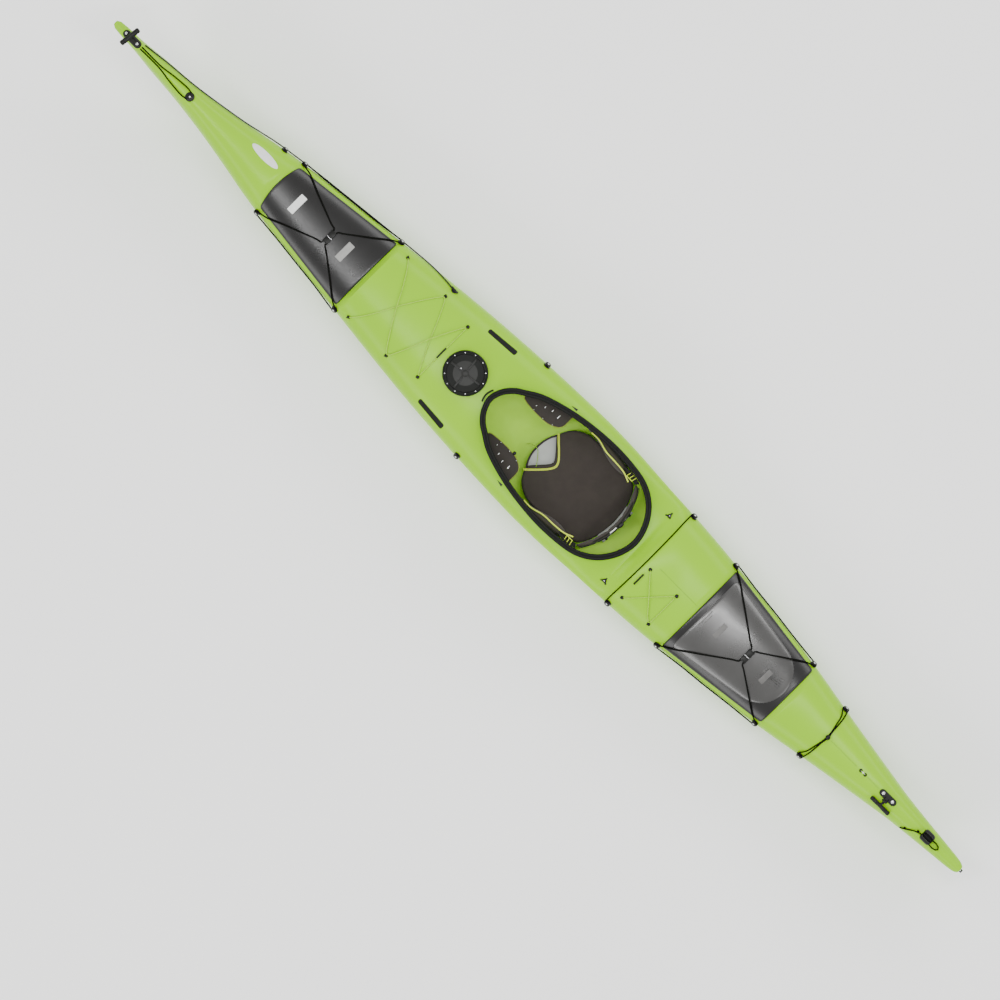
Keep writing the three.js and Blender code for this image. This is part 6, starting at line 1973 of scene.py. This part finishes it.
@dataclass
class DeckLines:
    """Every line and elastic on the deck, with the small fittings that hold them."""

    cord_mm: float = 3.0
    tow_s: float = 3268.0
    bead_s: float = 4350.0
    bungee_s: float = 4322.0
    oval_s: float = 857.0
    oval_y: float = -50.0
    bow_loop: Route = (
        (152, 4.5, 0), (215, 4, 0), (271, 4, 0), (330, 13, 0), (400, 19, 0), (440, 20, 0), (463, 11, 0),
        (468, 0, 0), (463, -11, 0), (440, -20, 0), (400, -19, 0), (330, -13, 0), (271, -4, 0),
        (215, -4, 0), (152, -4.5, 0),
    )
    foredeck: Route = (
        (1602, 184, 0), (1718, 4, 0), (1835, -174, 0), (1916, -6, 0), (1997, 156, 0), (1997, 0, 0),
        (1997, -149, 0), (1916, 5, 6), (1835, 187, 0), (1718, 6, 6), (1602, -176, 0),
    )
    aft_deck: Route = (
        (3295, 203, 0), (3376, 118, 0), (3457, 32, 0), (3457, 118, 0), (3457, 203, 0), (3376, 118, 6),
        (3295, 32, 0),
    )
    painter_fore: Route = (
        (156, -0.42, 0), (296, -0.6, 0), (448, -0.68, 0), (580, -0.78, 0), (709, -0.85, 0), (842, -0.965, 4),
    )
    painter_aft: Route = (
        (932, -0.975, 2), (985, -0.992, 2), (1270, -0.992, 2), (1548, -0.992, 2), (1640, -0.98, 0),
        (1740, -0.85, 0), (1843, -0.71, 0),
    )

    def hook(self, s: float, y: float, aim: float) -> Shape:
        """A small deck hook: a round foot with a tab over the elastic.

        Args:
            s: Its place along the boat.
            y: Its place across it.
            aim: How far the tab is turned, in radians.

        Returns:
            The hook.
        """
        foot, out = BOAT.above(s, y, 0.2), BOAT.out(s, BOAT.turn_of(s, y))
        post = ((8, 0), (8.6, 1.2), (7.8, 2.4), (4.6, 3.4), (4, 5.5), (4.2, 8), (3, 9.4), (0, 9.8))
        tab = block(foot + out * 7.6 * MM, (15, 6.5, 4), 1.6, Matrix.Rotation(aim, 3, "Z"))
        return joined((lathe(post, foot, out, 18), tab))

    def lacing(self, node: str, route: Route) -> None:
        """A thin elastic laced between its hooks.

        Args:
            node: Its node.
            route: Its way over the deck.
        """
        tube(softly(laid(route, 3.4), 2), 2.6, 10).kept(f"{node}_cord", Stuff.ELASTIC, node)
        low, high = min(y for _, y, _ in route), max(y for _, y, _ in route)
        held = [(s, y) for s, y, _ in route if abs(y - (low + high) / 2) > (high - low) / 4]
        hooks = joined(self.hook(s, y, 0.6 if y > 0 else -0.6) for s, y in held)
        hooks.kept(f"{node}_hooks", Stuff.NYLON)

    def bow(self) -> None:
        """The doubled bow line round its eye, and the painter down the starboard side."""
        tube(softly(laid(self.bow_loop, 4.2), 2), self.cord_mm, 12).kept("bow_line", Stuff.CORD, "bow_loop")
        foot, out = BOAT.above(448, 0, 0.2), BOAT.out(448, 0.0)
        eye = (
            (21, 0), (21, 1.4), (19, 2.2), (15.4, 2.6), (15, 4), (15, 8), (14, 9.4), (11, 10), (5, 10.2),
            (4, 9.2), (0, 9.2),
        )
        lathe(eye, foot, out, 32).kept("bow_line_eye", Stuff.NYLON)
        head = lathe(((4, 8.8), (4, 10.4), (3, 11.2), (0, 11.4)), foot, out, 18)
        head.kept("bow_line_eye_screw", Stuff.STEEL)
        route = [
            *laid(self.painter_fore, 4.4, True), EYES.round_neck(897, -1, 1),
            *laid(self.painter_aft, 4.4, True),
        ]
        tube(softly(route, 2), self.cord_mm, 12).kept("painter_cord", Stuff.PAINTER, "painter_line")
        foot, out = BOAT.on_deck(1843, -0.71, 0.2), BOAT.out(1843, -0.71)
        post = ((12, 0), (12.6, 1.6), (11.6, 3), (7, 4.4), (6, 6.4), (7, 8.8), (5.6, 10), (0, 10.4))
        bar = block(foot + out * 8.6 * MM, (40, 10, 5.5), 2.4, Matrix.Rotation(-0.05, 3, "Z"))
        joined((lathe(post, foot, out, 24), bar)).kept("painter_cleat", Stuff.NYLON)

    def back_deck(self) -> None:
        """The tow line behind the cockpit, and the stern elastic with its bead."""
        tow_s, bead_s, eye_s = self.tow_s, self.bead_s, self.bungee_s
        quarters = (1, 1.25, 1.5, 1.75, 2)
        turns = (k / 10 for k in range(6, -7, -1))
        path = [
            *EYES.bend(tow_s, 1, quarters), EYES.round_neck(tow_s, 1, 2, 20),
            *(BOAT.on_deck(tow_s - EYES.hook + 4 * cos(2.6 * turn), turn, 4.4) for turn in turns),
            EYES.round_neck(tow_s, -1, 2, 20), *EYES.bend(tow_s, -1, quarters[::-1]),
        ]
        tube(spline(path, 5 * MM), self.cord_mm, 12).kept("tow_cord", Stuff.CORD, "tow_line")

        def strand(offset: float, sign: int) -> list[Vector]:
            """The points of a strand that goes from the bead to the fore or aft side of its eye."""
            way = eye_s + offset - bead_s
            return [BOAT.on_deck(bead_s + way * t, sign * t, 4.6) for t in (0.12, 0.35, 0.55)]

        cords = []
        for sign in (1, -1):
            fore, aft = (BOAT.above(bead_s, 0, 9) + Vector((x, sign * 3, 0)) * MM for x in (3.6, -3.6))
            points = [
                fore, *strand(-EYES.hook, sign), EYES.round_neck(eye_s, sign, 2, 20),
                *EYES.bend(eye_s, sign, (2, 1.6, 1.2, 0.8, 0.4, 0)), EYES.round_neck(eye_s, sign, 0, -20),
                *reversed(strand(EYES.hook, sign)), aft,
            ]
            cords.append(tube(spline(points, 5 * MM), self.cord_mm, 12))
        joined(cords).kept("stern_elastic", Stuff.CORD, "stern_bungee")
        ball = [(11 * sin(a), 11 - 11 * cos(a)) for a in (pi * k / 14 for k in range(15))]
        lathe(ball, BOAT.above(bead_s, 0, 0.2), UP, 28).kept("stern_elastic_bead", Stuff.NYLON)

    def small_fittings(self) -> None:
        """Grip bars on the elastics, the three-legged fittings and the plain badge."""
        for name, s, low, high, bow in (
            ("fore", 1996, -18, 40, 0.0), ("coaming", 2259, -34, 34, 9.0), ("aft", 3289, 66, 126, 0.0)
        ):
            path = [
                BOAT.above(s + bow * (2 * t - 1) ** 2, low + (high - low) * t, 4.2)
                for t in (k / 12 for k in range(13))
            ]
            collars = [tube([a, b], 3.4, 14) for a, b in zip(path[1:-2:2], path[2:-1:2])]
            joined((tube(path, 3.9, 14), *collars)).kept(f"grip_bar_{name}", Stuff.NYLON)
        for name, s, y in (("starboard", 3190, -190), ("port", 3190, 205)):
            foot, out = BOAT.above(s, y, 0.3), BOAT.out(s, BOAT.turn_of(s, y))
            fitting = lathe(((9, 0), (9, 3), (7.6, 5.4), (4, 6.6), (0, 6.8)), foot, out, 24)
            for k in range(3):
                turn = Matrix.Rotation(0.5 + k * tau / 3, 3, "Z")
                at = foot + turn @ Vector((11 * MM, 0, 0)) + out * 2.2 * MM
                fitting.join(block(at, (15, 7, 4), 1.6, turn))
            fitting.kept(f"deck_fitting_{name}", Stuff.NYLON)
            head = lathe(((2.6, 6), (2.6, 7.4), (1.6, 8), (0, 8.1)), foot, out, 14)
            head.kept(f"deck_fitting_screw_{name}", Stuff.STEEL)
        turns = (tau * k / 56 for k in range(56))
        oval = [(self.oval_s + 76 * cos(a), self.oval_y + 19 * sin(a)) for a in turns]
        plate = draped(oval, lambda s, y, d: 0.5 + 1.3 * smooth_step(d / 2.4), (0, 0.8, 1.6, 2.4, 4))
        at = BOAT.above(self.oval_s, self.oval_y, 1.8)
        badge = plate.skinned("plain_oval_plate", Stuff.PATCH, at, wall_mm=0.9)
        keep(badge, "boat", "")
        for side, sign in SIDES:
            corners = ((2070, 232), (2226, 246), (2226, 222), (2070, 212))
            outline = rounded([(s, sign * (y - (18 if sign < 0 else 0))) for s, y in corners], 9, 5)
            stripe = draped(divided(outline, 8), lambda s, y, d: 0.5, (0, 1.5, 3))
            at = BOAT.above(2150, sign * 225, 1)
            piece = stripe.skinned(f"plain_side_stripe_{side}", Stuff.RUBBER, at)
            keep(piece, "boat", "")

    def build(self) -> None:
        """Makes every line."""
        self.bow()
        self.lacing("foredeck_elastic", self.foredeck)
        self.lacing("aft_deck_elastic", self.aft_deck)
        self.back_deck()
        self.small_fittings()


# Handles and stern fittings
@dataclass
class Fittings:
    """The carrying handles, the bail, the rudder rest and the rudder's bush."""

    plate_s: float = 98.0
    toggle_s: float = 86.0
    toggle_turn: float = -7.0
    stern_s: float = 4717.0
    bail_s: float = 4565.0
    bail_reach: float = 13.0
    bail_rise: float = 24.0
    rest_s: float = 4958.0

    def oval(self, s: float, y: float, length: float, width: float) -> Outline:
        """An outline with straight sides and round ends.

        Args:
            s: Its middle along the boat.
            y: Its middle across it.
            length: Its length.
            width: Its width.

        Returns:
            The outline.
        """
        reach, radius = length / 2 - width / 2, width / 2
        points = []
        for end in (1, -1):
            for angle in ((k / 16 - 0.5) * pi + (0 if end > 0 else pi) for k in range(17)):
                points.append((s + end * reach + radius * cos(angle), y + radius * sin(angle)))
        return points

    def bar(self, half: Outline, middle: Vector, way: Vector, sides: int) -> Shape:
        """A handle's bar, turned from half its profile and alike at both ends."""
        reach = half[-1][1]
        full = [*half, *((r, 2 * reach - h) for r, h in reversed(half[:-1]))]
        return lathe(full, middle - way * reach * MM, way, sides)

    def bow_handle(self) -> None:
        """The T-shaped carrying toggle on its plate."""
        outline = divided(self.oval(self.plate_s, 0, 99, 34), 8)
        sheet = draped(outline, lambda s, y, d: 0.4 + 4.4 * smooth_step(d / 3.2), (0, 0.7, 1.6, 2.6, 4, 6))
        plate = sheet.skinned("bow_plate", Stuff.NYLON, BOAT.above(self.plate_s, 0, 5), 70)
        keep(plate, "boat", "bow_handle_plate")
        head = ((6, 4), (6, 5.4), (4.8, 6.6), (2.2, 7), (1.4, 6.2), (0, 6.2))
        heads = joined(lathe(head, BOAT.above(s, 0, 0), BOAT.out(s, 0.0), 20) for s in (62, 127))
        heads.kept("bow_plate_screws", Stuff.STEEL)
        deck_z = BOAT.above(self.toggle_s, 0).z / MM
        way = Matrix.Rotation(radians(self.toggle_turn), 3, "Z") @ Vector((0, 1, 0))
        half = (
            (0, 0), (6, 0.4), (9.6, 2), (11.6, 5), (12.3, 9), (12.3, 13), (11.2, 15), (11.2, 17), (12.3, 19),
            (12.0, 30), (10.8, 42), (10.6, 50.5),
        )
        post = ((9, 0), (9.6, 2), (7.4, 6), (6, 10), (6, 26), (8.4, 34), (8.4, 40))
        handle = self.bar(half, place(self.toggle_s, 0, deck_z + 41), way, 32)
        handle.join(lathe(post, place(self.toggle_s, 0, deck_z + 1.2), UP, 24))
        handle.kept("bow_carrying_bar", Stuff.NYLON, "bow_toggle", body="bow_toggle", crease=45)

    def stern_handle(self) -> None:
        """The folding handle at the stern, lying to port."""
        s = self.stern_s
        crown = max(BOAT.above(s + d, 0).z / MM for d in (-46, 0, 46))
        top = crown + 5
        plate = slab(divided(self.oval(s, 0, 92, 31), 8), crown - 9, top, 1.6)
        for ear in (9.3, -9.3):
            plate.join(block(place(s + ear, 21, crown + 1), (6, 10, 22), 1.8))
            plate.join(block(place(s + ear, 11, crown + 1), (6, 20, 8), 1.5))
        plate.join(tube([place(s + end, 21, crown + 9) for end in (-13, 13)], 2.4, 14))
        plate.kept("stern_plate", Stuff.NYLON, "stern_handle_plate")
        bolt = ((7.4, -0.5), (7.4, 1), (6, 2.6), (3, 3.2), (0, 3.3))
        bolts = joined(lathe(bolt, place(s + off, 0, top), UP, 20) for off in (-27, 27))
        bolts.kept("stern_plate_bolts", Stuff.STEEL)
        half = (
            (0, 0), (5, 0.4), (8, 2), (9.4, 5), (9.9, 9), (9.9, 14), (9, 16), (9, 18), (9.9, 20), (9.6, 34),
            (8.8, 46), (8.6, 54.5),
        )
        pin, grip = place(s, 21, crown + 9), place(s, 49.2, 293.9)
        handle = self.bar(half, grip, FORE, 30)
        handle.join(tube([place(s + end, 21, crown + 9) for end in (-5.8, 5.8)], 5.4, 20))
        way = (grip - pin).normalized()
        turn = Matrix((FORE, way, FORE.cross(way))).transposed()
        handle.join(block((pin + grip) / 2, (11.4, (grip - pin).length / MM, 7), 2.2, turn))
        handle.kept("stern_carrying_bar", Stuff.NYLON, "stern_handle", body="stern_handle", crease=45)

    def bail(self) -> None:
        """The wire bail on the stern deck."""
        s, reach, z = self.bail_s, self.bail_reach, BOAT.above(self.bail_s, 0).z / MM
        turns = (pi * k / 20 for k in range(21))
        arch = [place(s - reach * cos(a), 0, z + self.bail_rise * sin(a)) for a in turns]
        tube(arch, 2.5, 14).kept("stern_wire_bail", Stuff.STEEL, "stern_bail")
        foot = ((7.6, 0), (8, 1.4), (7, 3), (4.4, 4), (3.6, 6.4), (2.6, 7))
        feet = joined(lathe(foot, BOAT.above(end, 0), UP, 20) for end in (s - reach, s + reach))
        feet.kept("stern_bail_feet", Stuff.NYLON)

    def rudder_rest(self) -> None:
        """The grooved rest for a stowed rudder blade, with its loop and its tie."""
        z = BOAT.above(self.rest_s, 0).z / MM
        rings = []
        for t in (k / 7 - 1 for k in range(15)):
            width = max(1 - abs(t) ** 4, 0.0) ** 0.5 * 0.75 + 0.25
            stem, foot, groove = 14 * width, 28 * (0.55 + 0.45 * width), 11.4 * width
            half = [
                (foot, -6), (foot, 2), (foot * 0.96, 12), (foot * 0.86, 20), (foot * 0.68, 26),
                (stem * 1.12, 30), (stem, 34), (stem, 41.5), (stem * 0.95, 43.6), (groove * 1.04, 43.8),
                (groove * 0.94, 40), (groove * 0.7, 35.4), (groove * 0.36, 32.8),
            ]
            points = [*half, (0, 32), *[(-y, h) for y, h in reversed(half)]]
            rings.append([place(self.rest_s + 27.5 * t, y, z + h) for y, h in points])
        loft(rings).kept("rudder_blade_rest", Stuff.RUBBER, "rudder_rest", slot="nylon", crease=45)
        routes = (
            (
                (4982, -4, 10), (5005, -10, 4), (5026, -6, 2), (5036, 5, 2), (5028, 16, 2), (5005, 19, 5),
                (4982, 13, 12),
            ),
            ((4934, 6, 9), (4912, 10, 5), (4888, 24, 2), (4862, 42, 1), (4845, 50, 1)),
        )
        cords = joined(tube(softly(laid(route, 4.6), 2), 3.1, 10) for route in routes)
        cords.kept("rudder_rest_cords", Stuff.CORD)
        knot = ((0, 0), (4, 1), (6, 4), (6, 8), (4, 11), (0, 12))
        ties = ((4912, 10, 4), (4862, 42, 0))
        knots = joined(lathe(knot, BOAT.above(*tie), UP, 16) for tie in ties)
        knots.kept("rudder_rest_knots", Stuff.CORD)

    def build(self) -> None:
        """Makes every fitting."""
        self.bow_handle()
        self.stern_handle()
        self.bail()
        self.rudder_rest()
        repaint("rudder_bush", Stuff.RUBBER, 1.0)


# Stage, light and camera
@dataclass
class Studio:
    """A pale floor, soft light from above and a camera that looks straight down."""

    height: float = 40.0
    view_width: float = 4.3187
    middle: tuple[float, float] = (-0.0387, 0.2794)

    def floor(self) -> None:
        """The floor that the boat stands on."""
        steps = [16.0 * (k / 12 - 1) for k in range(25)]
        rows = [[Vector((x, y, -0.002)) for y in steps] for x in steps]
        loft(rows, closed=False, capped=False).built("studio_floor", Stuff.FLOOR)

    def light(self) -> None:
        """Broad soft lights high on each side and past each end, and a weak even sky."""
        for name, place_at, size, power in (
            ("starboard", (1.0, -10.0, 5.5), (12.0, 3.0), 560.0),
            ("port", (-1.0, 10.0, 5.5), (12.0, 3.0), 640.0),
            ("bow", (8.5, 1.0, 8.0), (6.0, 4.0), 300.0),
            ("stern", (-8.5, -1.0, 8.0), (6.0, 4.0), 300.0),
            ("over", (-0.2, 0.12, 9.0), (8.0, 0.55), 460.0),
        ):
            lamp = bpy.data.lights.new(name, "AREA")
            lamp.shape = "RECTANGLE"
            lamp.size, lamp.size_y = size
            lamp.energy = power
            thing = linked(name, lamp)
            thing.location = place_at
            thing.rotation_euler = (-Vector(place_at)).to_track_quat("-Z", "Y").to_euler()
        world = bpy.data.worlds.new("studio_sky")
        world.use_nodes = True
        sky = world.node_tree.nodes["Background"]
        sky.inputs["Color"].default_value = (1.0, 1.0, 1.0, 1.0)
        sky.inputs["Strength"].default_value = 1.0
        bpy.context.scene.world = world

    def camera(self) -> None:
        """The camera, straight above the boat and turned as the photograph is."""
        lens = bpy.data.cameras.new("camera")
        lens.type = "PERSP"
        lens.sensor_width = 36.0
        distance = self.height - 0.3
        lens.lens = 36.0 * distance / self.view_width
        lens.clip_end = 200.0
        eye = linked("camera", lens)
        right = Vector((-0.706, -0.7085, 0.0)).normalized()
        up = Vector((0.7085, -0.706, 0.0)).normalized()
        turn = Matrix((right, up, right.cross(up))).transposed()
        eye.matrix_world = Matrix.Translation((*self.middle, self.height)) @ turn.to_4x4()
        bpy.context.scene.camera = eye

    def build(self) -> None:
        """Sets the stage."""
        self.floor()
        self.light()
        self.camera()


def main() -> None:
    """Builds the whole scene."""
    logging.basicConfig(level=logging.INFO, format="%(name)s: %(message)s")
    Studio().build()
    Hull().build()
    HatchSet(FRONT, ((1101, -2, 33, 89), (1392, -2, 33, 89))).build()
    # The rear cover's last two patches are thin strips for two ridges; their paler grey is painted highlight.
    HatchSet(REAR, ((3695, 6, 24, 72), (3975, 6, 24, 66), (3612, 10, 5, 86), (3624, 12, 5, 60))).build()
    EYES.build()
    DayHatch().build()
    SeatSet().build()
    DeckLines().build()
    Fittings().build()


if __name__ == "__main__":
    main()
